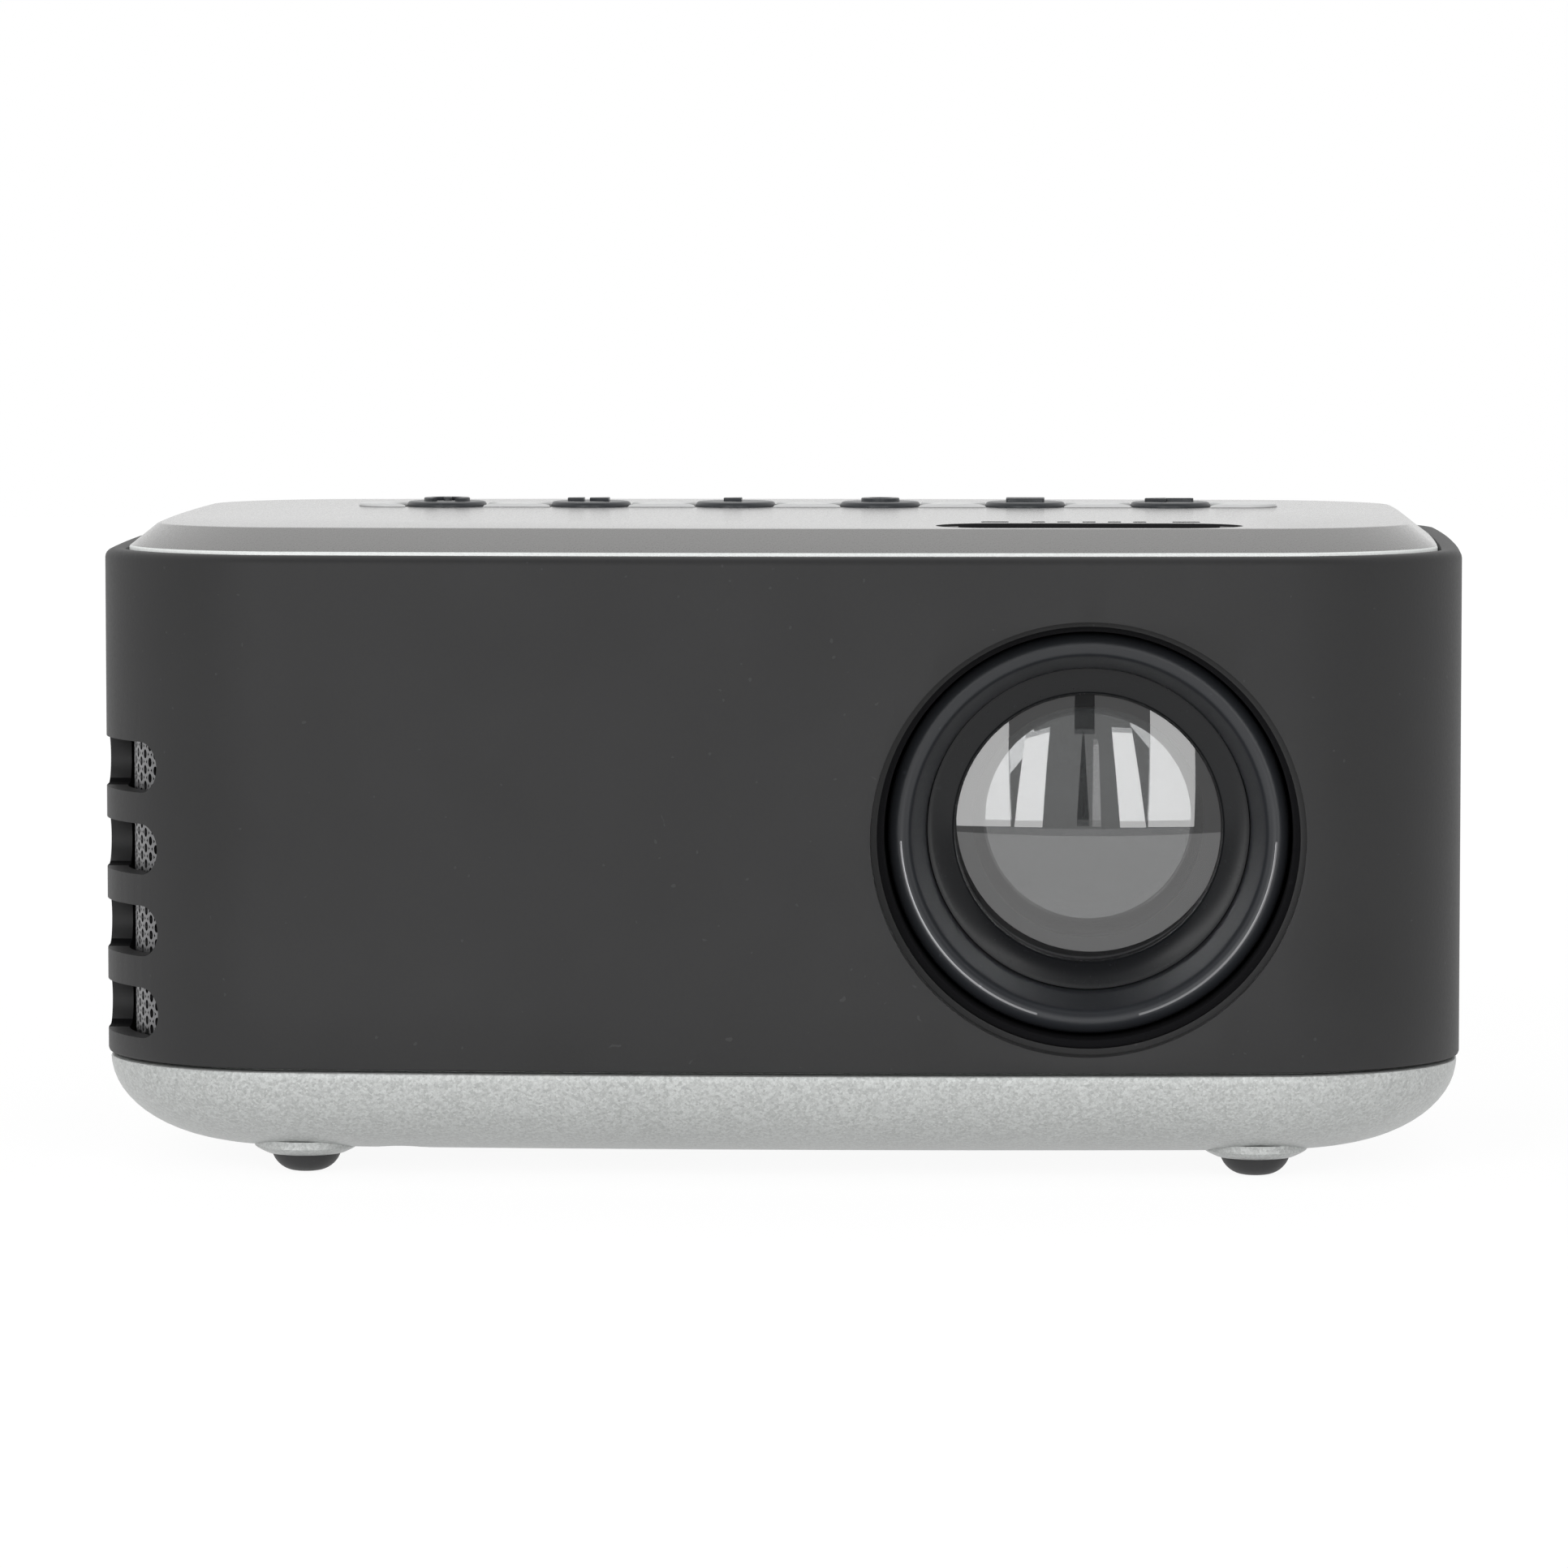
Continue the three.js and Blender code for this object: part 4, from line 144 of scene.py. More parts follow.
class KeySizes(bpy.types.PropertyGroup):
    count: bpy.props.IntProperty(name="Keys", description="Number of keys in the row", default=6, min=1)
    pitch: length("Key pitch", "Distance from key to key", 15.1 * MM)
    row_x: bpy.props.FloatProperty(name="Row X", description="Middle of the row, sideways", default=1.1 * MM,
                                   unit="LENGTH", precision=5)
    row_y: length("Row Y", "Distance of the row behind the middle of the body", 18 * MM)
    radius: length("Key radius", "Radius of a key", 4.15 * MM)
    rise: length("Key rise", "How far a key stands above the top", 0.52 * MM)
    hole_radius: length("Hole radius", "Radius of the hole that a key moves in", 4.6 * MM)
    strip_length: length("Strip length", "Length of the light strip", 95.7 * MM)
    strip_width: length("Strip width", "Width of the light strip", 7 * MM)
    strip_x: bpy.props.FloatProperty(name="Strip X", description="Middle of the light strip, sideways",
                                     default=2.05 * MM, unit="LENGTH", precision=5)
    strip_rise: length("Strip rise", "How far the strip stands above the top", 0.37 * MM)


class SlotSizes(bpy.types.PropertyGroup):
    length: length("Slot length", "Length of the finger scoop", 30 * MM)
    width: length("Slot width", "Width of the finger scoop", 11.6 * MM)
    run: length("Scoop run", "Width of the scoop's sloped border", 2.1 * MM)
    depth: length("Scoop depth", "Depth of the scoop where the opening starts", 1.3 * MM)
    y: length("Slot Y", "Distance of the slot in front of the middle of the body", 30.9 * MM)


class Colours(bpy.types.PropertyGroup):
    band: colour("Band", "Black band", (0.024, 0.024, 0.0245))
    tray: colour("Tray", "Silver paint of the tray", (0.485, 0.498, 0.49))
    cover: colour("Cover", "Silver paint of the top cover", (0.205, 0.203, 0.200))
    strip: colour("Strip", "Light strip between the keys", (0.60, 0.605, 0.605))
    key: colour("Key", "Keys", (0.028, 0.031, 0.035))
    rubber: colour("Rubber", "Feet", (0.020, 0.020, 0.021))
    mesh: colour("Mesh", "Perforated sheet", (0.22, 0.22, 0.225))
    lens_plastic: colour("Lens plastic", "Barrel and funnel of the lens", (0.025, 0.027, 0.031))


class ProjectorSettings(bpy.types.PropertyGroup):
    case: bpy.props.PointerProperty(type=CaseSizes, name="Case")
    tray: bpy.props.PointerProperty(type=TraySizes, name="Tray")
    vents: bpy.props.PointerProperty(type=VentSizes, name="Vents")
    keys: bpy.props.PointerProperty(type=KeySizes, name="Keys")
    slot: bpy.props.PointerProperty(type=SlotSizes, name="Focus slot")
    colours: bpy.props.PointerProperty(type=Colours, name="Colours")


# Materials


class Shading:
    """A node tree that is filled by name: plain values, numbers that vary, or other nodes' sockets."""

    def __init__(self, tree):
        self.tree = tree

    def node(self, kind, settings=None, *values, **named):
        made = self.tree.nodes.new(kind)
        for key, value in (settings or {}).items():
            setattr(made, key, value)
        for key, value in [*enumerate(values), *named.items()]:
            self.link(value, made.inputs[key])
        return made

    def link(self, value, socket):
        if isinstance(value, Number):
            value = value.socket
        if isinstance(value, bpy.types.NodeSocket):
            self.tree.links.new(value, socket)
        else:
            socket.default_value = value


class Number:
    """A number that changes over a surface: a node's socket that can be used in sums."""

    def __init__(self, shading, socket):
        self.shading, self.socket = shading, socket

    def _maths(self, operation, first, second):
        made = self.shading.node("ShaderNodeMath", {"operation": operation}, first, second)
        return Number(self.shading, made.outputs[0])

    def __add__(self, other):
        return self._maths("ADD", self, other)

    __radd__ = __add__

    def __sub__(self, other):
        return self._maths("SUBTRACT", self, other)

    def __rsub__(self, other):
        return self._maths("SUBTRACT", other, self)

    def __mul__(self, other):
        return self._maths("MULTIPLY", self, other)

    __rmul__ = __mul__

    def at_least(self, other):
        """The larger of the two."""
        return self._maths("MAXIMUM", self, other)

    def smooth(self, low, high):
        """0 below low, 1 above high, and a soft step between."""
        made = self.shading.node("ShaderNodeMapRange", {"interpolation_type": "SMOOTHSTEP"},
                                 Value=self, **{"From Min": low, "From Max": high})
        return Number(self.shading, made.outputs[0])


class Finish(Shading):
    """A material on the standard surface shader. What changes over the surface is fed to it by name."""

    def __init__(self, name, base, roughness=0.5, metallic=0.0, **uniform):
        self.material = bpy.data.materials.new(name)
        self.material.use_nodes = True
        super().__init__(self.material.node_tree)
        self.shader = self.tree.nodes["Principled BSDF"]
        fixed = {"Base_Color": (*base, 1.0), "Roughness": roughness, "Metallic": metallic, **uniform}
        for socket, value in fixed.items():
            self.feed(socket.replace("_", " "), value)
        self.place = self.node("ShaderNodeTexCoord").outputs["Object"]

    def feed(self, name, value):
        self.link(value, self.shader.inputs[name])
        return self

    def show(self, shader):
        """Uses another shader's output as the surface."""
        self.link(shader, self.tree.nodes["Material Output"].inputs["Surface"])
        return self

    def noise(self, grain, detail=2.0, roughness=0.5, stretch=(1, 1, 1)):
        """Soft noise with features about as big as grain, in metres."""
        place = self.node("ShaderNodeMapping", None, Vector=self.place, Scale=stretch).outputs[0]
        made = self.node("ShaderNodeTexNoise", None, Vector=place, Scale=1 / grain, Detail=detail,
                         Roughness=roughness)
        return Number(self, made.outputs["Fac"])

    def flakes(self, grain):
        """A different number from 0 to 1 in each small cell."""
        made = self.node("ShaderNodeTexVoronoi", {"feature": "F1"}, Vector=self.place, Scale=1 / grain)
        split = self.node("ShaderNodeSeparateColor", None, made.outputs["Color"])
        return Number(self, split.outputs[0]), Number(self, made.outputs["Distance"])

    def blend(self, first, second, share):
        """A colour between two colours, which are plain or other nodes' sockets."""
        made = self.node("ShaderNodeMix", {"data_type": "RGBA"})
        for value, socket in ((share, made.inputs[0]), (first, made.inputs[6]), (second, made.inputs[7])):
            self.link((*value, 1.0) if isinstance(value, tuple) else value, socket)
        return made.outputs[2]

    def relief(self, height, depth, strength=1.0):
        """Small relief of that depth, in metres."""
        made = self.node("ShaderNodeBump", None, Strength=strength, Distance=depth, Height=height)
        return self.feed("Normal", made.outputs[0])


def shade(base, factor):
    """The colour, lighter or darker."""
    return tuple(min(1.0, channel * factor) for channel in base)


def moulded(name, base, roughness, grain=0.35 * MM, spread=0.25, depth=0.012 * MM, **uniform):
    """Moulded plastic: fine grain, cloudy colour and a few pale specks of dust."""
    made = Finish(name, base, roughness, **uniform)
    cloud = made.noise(14 * MM, 3)
    fine = made.noise(grain)
    dust = made.noise(0.65 * MM, 0).smooth(0.84, 0.88)
    body = made.blend(shade(base, 1 - spread), shade(base, 1 + spread), cloud * 0.6 + fine * 0.4)
    made.feed("Base Color", made.blend(body, shade(base, 2.2), dust * 0.5))
    made.feed("Roughness", roughness - 0.06 + fine * 0.12)
    return made.relief(fine, depth).material


def flaked_paint(name, base, roughness, metallic, grain, contrast, bump=0.6, **uniform):
    """Silver paint: metal flakes of slightly different brightness under a soft coat."""
    made = Finish(name, base, roughness, metallic, **uniform)
    shine, edge = made.flakes(grain)
    fine, _ = made.flakes(grain * 0.45)
    cloud = made.noise(20 * MM)
    share = shine * 0.5 + fine * 0.3 + cloud * 0.2
    made.feed("Base Color", made.blend(shade(base, 1 - contrast), shade(base, 1 + contrast), share))
    made.feed("Roughness", roughness - 0.1 + shine * 0.2)
    return made.relief(shine * 0.6 + edge * 0.4, 0.02 * MM, bump).material


def metal(name, base, roughness, stretch=(1, 1, 1)):
    """Bare metal with fine tool marks that run along the unstretched directions."""
    made = Finish(name, base, roughness, 1.0)
    marks = made.noise(0.2 * MM, 3, stretch=stretch)
    stain = made.noise(6 * MM)
    made.feed("Base Color", made.blend(shade(base, 0.8), shade(base, 1.15), marks * 0.6 + stain * 0.4))
    made.feed("Roughness", roughness - 0.08 + marks * 0.2)
    return made.relief(marks, 0.006 * MM).material


def clear(name, tint, ior, **uniform):
    """Polished optical glass with the faintest smears."""
    polish = 0.01
    made = Finish(name, tint, polish, Transmission_Weight=1.0, IOR=ior, **uniform)
    smear = made.noise(5 * MM, 4, 0.6)
    made.feed("Roughness", polish + smear.smooth(0.5, 0.8) * 0.005)
    return made.material


def board(name, base):
    """Circuit board with a fine pattern of tracks under its solder mask."""
    made = Finish(name, base, 0.35)
    brick = made.node("ShaderNodeTexBrick", {"offset": 0.5}, Vector=made.place, Scale=1 / (6 * MM))
    tracks = Number(made, brick.outputs["Fac"])
    cloud = made.noise(3 * MM, 3)
    body = made.blend(shade(base, 0.7), shade(base, 1.3), cloud)
    made.feed("Base Color", made.blend(body, shade(base, 2.2), tracks * 0.6))
    return made.relief(tracks, 0.03 * MM).material


# Mesh helpers

SMOOTH_ANGLE = math.radians(32)


def to_object(bm, name, material=None):
    """Makes the finished mesh an object at the origin, with smooth faces and crisp edges."""
    mesh = bpy.data.meshes.new(name)
    bm.to_mesh(mesh)
    bm.free()
    piece = bpy.data.objects.new(name, mesh)
    bpy.context.scene.collection.objects.link(piece)
    if material:
        mesh.materials.append(material)
    soften(piece)
    return piece


def soften(piece):
    """Smooth faces that keep every edge sharper than the smooth angle."""
    piece.data.shade_smooth()
    piece.data.set_sharp_from_angle(angle=SMOOTH_ANGLE)


def bake_modifiers(piece):
    """Makes what the modifiers show the piece's own mesh."""
    bpy.context.view_layer.update()
    shown = piece.evaluated_get(bpy.context.evaluated_depsgraph_get())
    mesh = bpy.data.meshes.new_from_object(shown)
    piece.modifiers.clear()
    old, piece.data = piece.data, mesh
    bpy.data.meshes.remove(old)


def carve(piece, *cutters, operation="DIFFERENCE"):
    """Cuts the cutters out of the piece, or joins them to it, and removes them."""
    for cutter in cutters:
        modifier = piece.modifiers.new("carve", "BOOLEAN")
        modifier.operation, modifier.solver, modifier.object = operation, "EXACT", cutter
    bake_modifiers(piece)
    for cutter in cutters:
        bpy.data.objects.remove(cutter, do_unlink=True)
    if not piece.data.polygons:
        raise RuntimeError("nothing is left of " + piece.name)
    bm = bmesh.new()
    bm.from_mesh(piece.data)
    bmesh.ops.remove_doubles(bm, verts=bm.verts[:], dist=MM / 500)
    bmesh.ops.dissolve_degenerate(bm, edges=bm.edges[:], dist=MM / 1000)
    bmesh.ops.holes_fill(bm, edges=[edge for edge in bm.edges if edge.is_boundary], sides=6)
    bmesh.ops.delete(bm, geom=[edge for edge in bm.edges if edge.is_wire], context="EDGES")
    bm.to_mesh(piece.data)
    bm.free()
    soften(piece)


def coat_faces(piece, material, chosen):
    """Gives the faces that chosen(centre) picks a material of their own."""
    piece.data.materials.append(material)
    for face in piece.data.polygons:
        if chosen(face.center):
            face.material_index = len(piece.data.materials) - 1


def from_axis(spot):
    """Distance from the lens axis, and the station along it."""
    return math.hypot(spot.x - LENS_AXIS.x, spot.z - LENS_AXIS.z), -spot.y


def bevelled(bm, edges, offset, segments):
    """Rounds the edges."""
    bmesh.ops.bevel(bm, geom=edges, offset=offset, offset_type="OFFSET", segments=segments, profile=0.5,
                    affect="EDGES", material=-1, clamp_overlap=True)


def round_edges(piece, chosen, offset):
    """Rounds the edges that chosen(edge) picks."""
    bm = bmesh.new()
    bm.from_mesh(piece.data)
    bevelled(bm, [edge for edge in bm.edges if len(edge.link_faces) == 2 and chosen(edge)], offset, 2)
    bm.to_mesh(piece.data)
    bm.free()
    soften(piece)


def turned(profile, centre, axis, name, material=None, steps=96):
    """Turns a profile of (radius, station) pairs round an axis that runs through centre."""
    axis = Vector(axis)
    side = Vector((1, 0, 0))
    bm = bmesh.new()
    corners = [bm.verts.new(Vector(centre) + side * radius + axis * station) for radius, station in profile]
    edges = [bm.edges.new(pair) for pair in zip(corners, corners[1:])]
    if profile[0][0] > 0:
        edges.append(bm.edges.new((corners[-1], corners[0])))
    bmesh.ops.spin(bm, geom=corners + edges, cent=centre, axis=axis, angle=TURN, steps=steps, use_merge=True)
    bmesh.ops.remove_doubles(bm, verts=bm.verts[:], dist=MM / 10000)
    bmesh.ops.recalc_face_normals(bm, faces=bm.faces[:])
    return to_object(bm, name, material)


def cut_across(bm, x):
    """Adds a line of points where the mesh crosses that X."""
    bmesh.ops.bisect_plane(bm, geom=bm.verts[:] + bm.edges[:] + bm.faces[:], plane_co=(x, 0, 0),
                           plane_no=(1, 0, 0))


def drill(radius, low, high, x, y, name, steps):
    """An upright cylinder that cuts a round hole."""
    return turned([(0, low), (radius, low), (radius, high), (0, high)], (x, y, 0), UP, name, steps=steps)


def curve_points(centre_x, centre_y, radius, start, end, steps):
    """Points of an arc in a profile, from angle start to angle end."""
    angles = [start + (end - start) * k / steps for k in range(steps + 1)]
    return [(centre_x + radius * math.cos(a), centre_y + radius * math.sin(a)) for a in angles]


def ring_edges(made):
    """The new edges of an extruded loop, without the edges that tie it to the old one."""
    fresh = {item for item in made["geom"] if isinstance(item, bmesh.types.BMVert)}
    return [item for item in made["geom"]
            if isinstance(item, bmesh.types.BMEdge) and set(item.verts) <= fresh]


def rounded_plan(bm, width, depth, corner, cuts):
    """A flat rounded rectangle round the origin, as one face."""
    bmesh.ops.create_grid(bm, x_segments=1, y_segments=1, size=0.5)
    bmesh.ops.scale(bm, vec=(width, depth, 1), verts=bm.verts[:])
    bmesh.ops.bevel(bm, geom=bm.verts[:], offset=corner, offset_type="OFFSET", segments=cuts, profile=0.5,
                    affect="VERTICES", material=-1, clamp_overlap=False)
    bmesh.ops.remove_doubles(bm, verts=bm.verts[:], dist=MM / 100)


def thickened(bm, height):
    """Gives the flat faces that height, and returns the points of the upper ones."""
    grown = bmesh.ops.extrude_face_region(bm, geom=bm.faces[:], use_keep_orig=True)["geom"]
    top = [item for item in grown if isinstance(item, bmesh.types.BMVert)]
    bmesh.ops.translate(bm, vec=(0, 0, height), verts=top)
    return top


def slab(width, depth, corner, low, high, name, place=(0, 0), material=None, cuts=12, edge=0.0, turn=None):
    """A flat piece with a rounded plan, and rounded upper edges where edge is given."""
    bm = bmesh.new()
    rounded_plan(bm, width, depth, corner, cuts)
    top = set(thickened(bm, high - low))
    bmesh.ops.recalc_face_normals(bm, faces=bm.faces[:])
    if edge:
        bevelled(bm, [item for item in bm.edges if set(item.verts) <= top], edge, 3)
    bmesh.ops.translate(bm, vec=(*place, low), verts=bm.verts[:])
    if turn:
        bmesh.ops.transform(bm, matrix=turn, verts=bm.verts[:])
    return to_object(bm, name, material)


def bowed(case, x, y):
    """Where a point of the rounded rectangle lies once its sides bow outwards."""
    across, along = x / (case.width / 2), y / (case.depth / 2)
    return x - case.side_bow * across * along ** 2, y - case.front_bow * along * across ** 2


def body_loop(case):
    """The body's outline as one loop of edges, with the outward direction of each point."""
    bm = bmesh.new()
    rounded_plan(bm, case.width, case.depth, case.corner, case.corner_cuts)
    bmesh.ops.delete(bm, geom=bm.faces[:], context="FACES_ONLY")
    for limit, cuts in ((case.depth, 47), (case.corner, 23)):      # first the long sides, then the short ones
        straight = [edge for edge in bm.edges if edge.calc_length() > limit]
        bmesh.ops.subdivide_edges(bm, edges=straight, cuts=cuts)
    for vert in bm.verts:
        vert.co.x, vert.co.y = bowed(case, vert.co.x, vert.co.y)
    number = bm.verts.layers.int.new("number")
    spots = []
    for k, vert in enumerate(bm.verts):
        vert[number] = k
        before, after = (edge.other_vert(vert).co for edge in vert.link_edges)
        along = after - before
        out = Vector((along.y, -along.x, 0)).normalized()
        if out.dot(vert.co) < 0:
            out.negate()
        spots.append((vert.co.copy(), out))
    return bm, number, spots


def swept(case, stations, closed, name, material=None):
    """Carries the body's outline through stations of (inset, height) and closes the shell."""
    bm, number, spots = body_loop(case)
    first = ring = bm.edges[:]
    for k, (inset, height) in enumerate(stations):
        if k:
            ring = ring_edges(bmesh.ops.extrude_edge_only(bm, edges=ring))
        for vert in {vert for edge in ring for vert in edge.verts}:
            spot, out = spots[vert[number]]
            vert.co = spot - out * inset + Vector((0, 0, height))
    if closed:
        bmesh.ops.bridge_loops(bm, edges=first + ring)
    else:
        for loop in (first, ring):
            bmesh.ops.edgeloop_fill(bm, edges=loop)
    bmesh.ops.recalc_face_normals(bm, faces=bm.faces[:])
    return to_object(bm, name, material)


def bend_round_corner(case, vert, back):
    """Bends a flat sheet round a left corner. X runs along the outline from the corner's start, Y is the
    height and Z the depth below the outer surface."""
    run, height, depth = vert.co
    angle = max(run, 0) / case.corner
    radius = case.corner - depth
    x, y = bowed(case, -(case.width / 2 - case.corner) - radius * math.cos(angle),
                 -(case.depth / 2 - case.corner) - radius * math.sin(angle) - min(run, 0))
    vert.co = Vector((x, -y if back else y, height))


def lens_piece(profile, name, material=None, steps=128):
    """A turned lens part. Stations run forward from the middle of the body."""
    return turned(profile, LENS_AXIS, (0, -1, 0), name, material, steps)


def dress(piece, body, slot_name, *nodes):
    """Puts a finished piece on its body, in place of CAD nodes where they are named."""
    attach(piece, body)
    if nodes:
        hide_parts(*nodes)


def finish_nodes(material, *names):
    """Gives CAD nodes a material in place of their plain one."""
    for name in names:
        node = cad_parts[name]
        node.data.materials.clear()
        node.data.materials.append(material)


def top_height(case, y):
    """Height of the cover's top at that Y."""
    return case.cover_top - case.fall * (y / case.depth + 0.5)


# Case

TRAY_TONGUE = BAND_LOW.z + 1.2 * MM         # how high the tray reaches up inside the band
COVER_SKIRT = BAND_HIGH.z - 5.3 * MM        # where the collar ends, under the cover's skirt
COLLAR_THICKNESS = 2.3 * MM
COLLAR_INSET = 0.4 * MM
# The slots' ends at the side, painted near black as shade: depth behind the band's face, distance from the
# middle, and height
FAR_END_DEPTHS, FAR_END_PLACES, FAR_END_HEIGHTS = (0.3, 2), (21.9, 25.2), (12, 43)      # in millimetres


class PROJECTOR_OT_band(bpy.types.Operator):
    """Builds the black band with its lens opening, vent slots and socket windows"""
    bl_idname = "projector.band"
    bl_label = "Band"

    def execute(self, context):
        settings = context.scene.projector
        case, vents = settings.case, settings.vents
        plastic = moulded("band_plastic", settings.colours.band, 0.52, Specular_IOR_Level=0.3)
        band = swept(case, self.stations(case), True, "band_shell", plastic)
        collar_front, past_front = case.collar_back + COLLAR_THICKNESS, case.depth / 2 + OVERRUN
        collar = lens_piece([(0, case.collar_back), (case.collar_radius, case.collar_back),
                             (case.collar_radius, collar_front), (0, collar_front)], "collar")
        keep = swept(case, [(COLLAR_INSET, TRAY_TONGUE), (COLLAR_INSET, COVER_SKIRT)], False, "keep")
        carve(collar, keep, operation="INTERSECT")
        carve(band, collar, operation="UNION")
        bore_back = case.collar_back - MM
        hole = lens_piece([(0, bore_back), (case.lip_radius, bore_back), (case.lip_radius, case.hole_depth),
                           (case.hole_radius, case.hole_depth), (case.hole_radius, past_front),
                           (0, past_front)], "hole")
        slots = [vent_cutter(case, vents, back, k) for back in (False, True) for k in range(vents.count)]
        carve(band, hole, *slots, *socket_cutters(case))
        sharp = math.radians(50)
        round_edges(band, lambda edge: on_rim(case, edge) and edge.calc_face_angle(0) > sharp, 0.18 * MM)
        # Near black on the collar's bore behind the lens opening and on the side slots' far ends: painted
        # shade where the band's plastic lies in shadow
        opening_shade = moulded("opening_painted_shade", (0.004, 0.004, 0.0045), 0.9, Specular_IOR_Level=0.1)

        def in_bore(spot):
            away, station = from_axis(spot)
            return away < case.lip_radius + 0.02 * MM and bore_back < station < case.hole_depth

        def in_far_end(spot):
            """Whether a spot lies on the ends of the slots at the side, which are painted near black as shade
            so that they seem deep.
            """
            behind = spot.x - bowed(case, -case.width / 2, spot.y)[0]
            return all(low * MM < at < high * MM for at, (low, high) in (
                (behind, FAR_END_DEPTHS), (abs(spot.y), FAR_END_PLACES), (spot.z, FAR_END_HEIGHTS)))

        coat_faces(band, opening_shade, lambda spot: in_bore(spot) or in_far_end(spot))
        dress(band, CASE, "black_shell", "outer_band")
        return {"FINISHED"}

    def stations(self, case):
        """The band's section: up its outer side, round the rim and down its inner side."""
        low, high = BAND_LOW.z, BAND_HIGH.z
        edge, rim = case.edge_round, case.rim_round
        rows, rim_cuts = 8, 5
        outer = [(edge, low), (edge * 0.3, low + edge * 0.3), (0, low + edge)]
        outer += [(0, low + (high - low) * k / rows) for k in range(1, rows)]
        outer += [(rim - radius, high - rim + rise)
                  for radius, rise in curve_points(0, 0, rim, 0, QUARTER, rim_cuts)]
        return outer + [(case.wall - edge, high), (case.wall - edge * 0.3, high - edge * 0.3),
                        (case.wall, high - edge), (case.wall, low)]


def on_rim(case, edge):
    """Whether an edge lies on the outer rim of the round opening."""
    return all(abs(from_axis(vert.co)[0] - case.hole_radius) < 0.03 * MM
               and vert.co.y < -case.hole_depth - MM for vert in edge.verts)


def vent_cutter(case, vents, back, k):
    """One slot, bent round the corner."""
    slices = 20
    bm = bmesh.new()
    rounded_plan(bm, vents.slot_length, vents.slot_height, vents.slot_height / 2, 8)
    thickened(bm, case.wall + 2 * OVERRUN)
    for share in range(1, slices):
        cut_across(bm, (share / slices - 0.5) * vents.slot_length)
    bmesh.ops.translate(bm, vec=(vents.middle_run, vents.lowest + k * vents.pitch, -OVERRUN),
                        verts=bm.verts[:])
    for vert in bm.verts:
        bend_round_corner(case, vert, back)
    bmesh.ops.recalc_face_normals(bm, faces=bm.faces[:])
    return to_object(bm, "vent")


SOCKET_ROOM = 0.5 * MM
RECEIVER_WIDTH, RECEIVER_HEIGHT = 9 * MM, 5 * MM
JACK_WIDTH, JACK_DROP = 7 * MM, 3 * MM          # the jack's round window, and its middle below the jack's top


def socket_cutters(case):
    """Windows in the back for the sockets and the receiver."""
    made = []
    for node in ("hdmi_socket", "usb_socket", "power_jack", "receiver_window", "audio_jack"):
        low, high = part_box(node)
        middle = box_middle(node)
        width, height = high.x - low.x + 2 * SOCKET_ROOM, high.z - low.z + 2 * SOCKET_ROOM
        corner = 0.8 * MM
        if node == "receiver_window":
            width, height = RECEIVER_WIDTH, RECEIVER_HEIGHT
        elif node == "audio_jack":
            width, height, corner, middle.z = JACK_WIDTH, JACK_WIDTH, JACK_WIDTH / 2, high.z - JACK_DROP
        place = Matrix.Translation((middle.x, case.depth / 2 + 3 * MM, middle.z))
        made.append(slab(width, height, corner, 0, 8 * MM, "window",
                         turn=place @ Matrix.Rotation(QUARTER, 4, "X")))
    return made


TRAY_WALL = 1.6 * MM
TRAY_EDGE = 0.25 * MM
PAD_FLARE = 1.25 * MM                           # how much wider the feet's pads are at the tray
STEM_RADIUS, SCREW_WELL_RADIUS, INSERT_RADIUS = 1.8 * MM, 2.5 * MM, 4.9 * MM
SCREW_WELL_TOP = 4.9 * MM
INTAKE_LENGTH, INTAKE_WIDTH, INTAKE_PITCH, INTAKE_X, INTAKE_Y = (size * MM for size in (22, 2, 4.4, -30, 10))
SOUND_HOLE_RADIUS, SOUND_RING_RADIUS = 1.2 * MM, 4.8 * MM


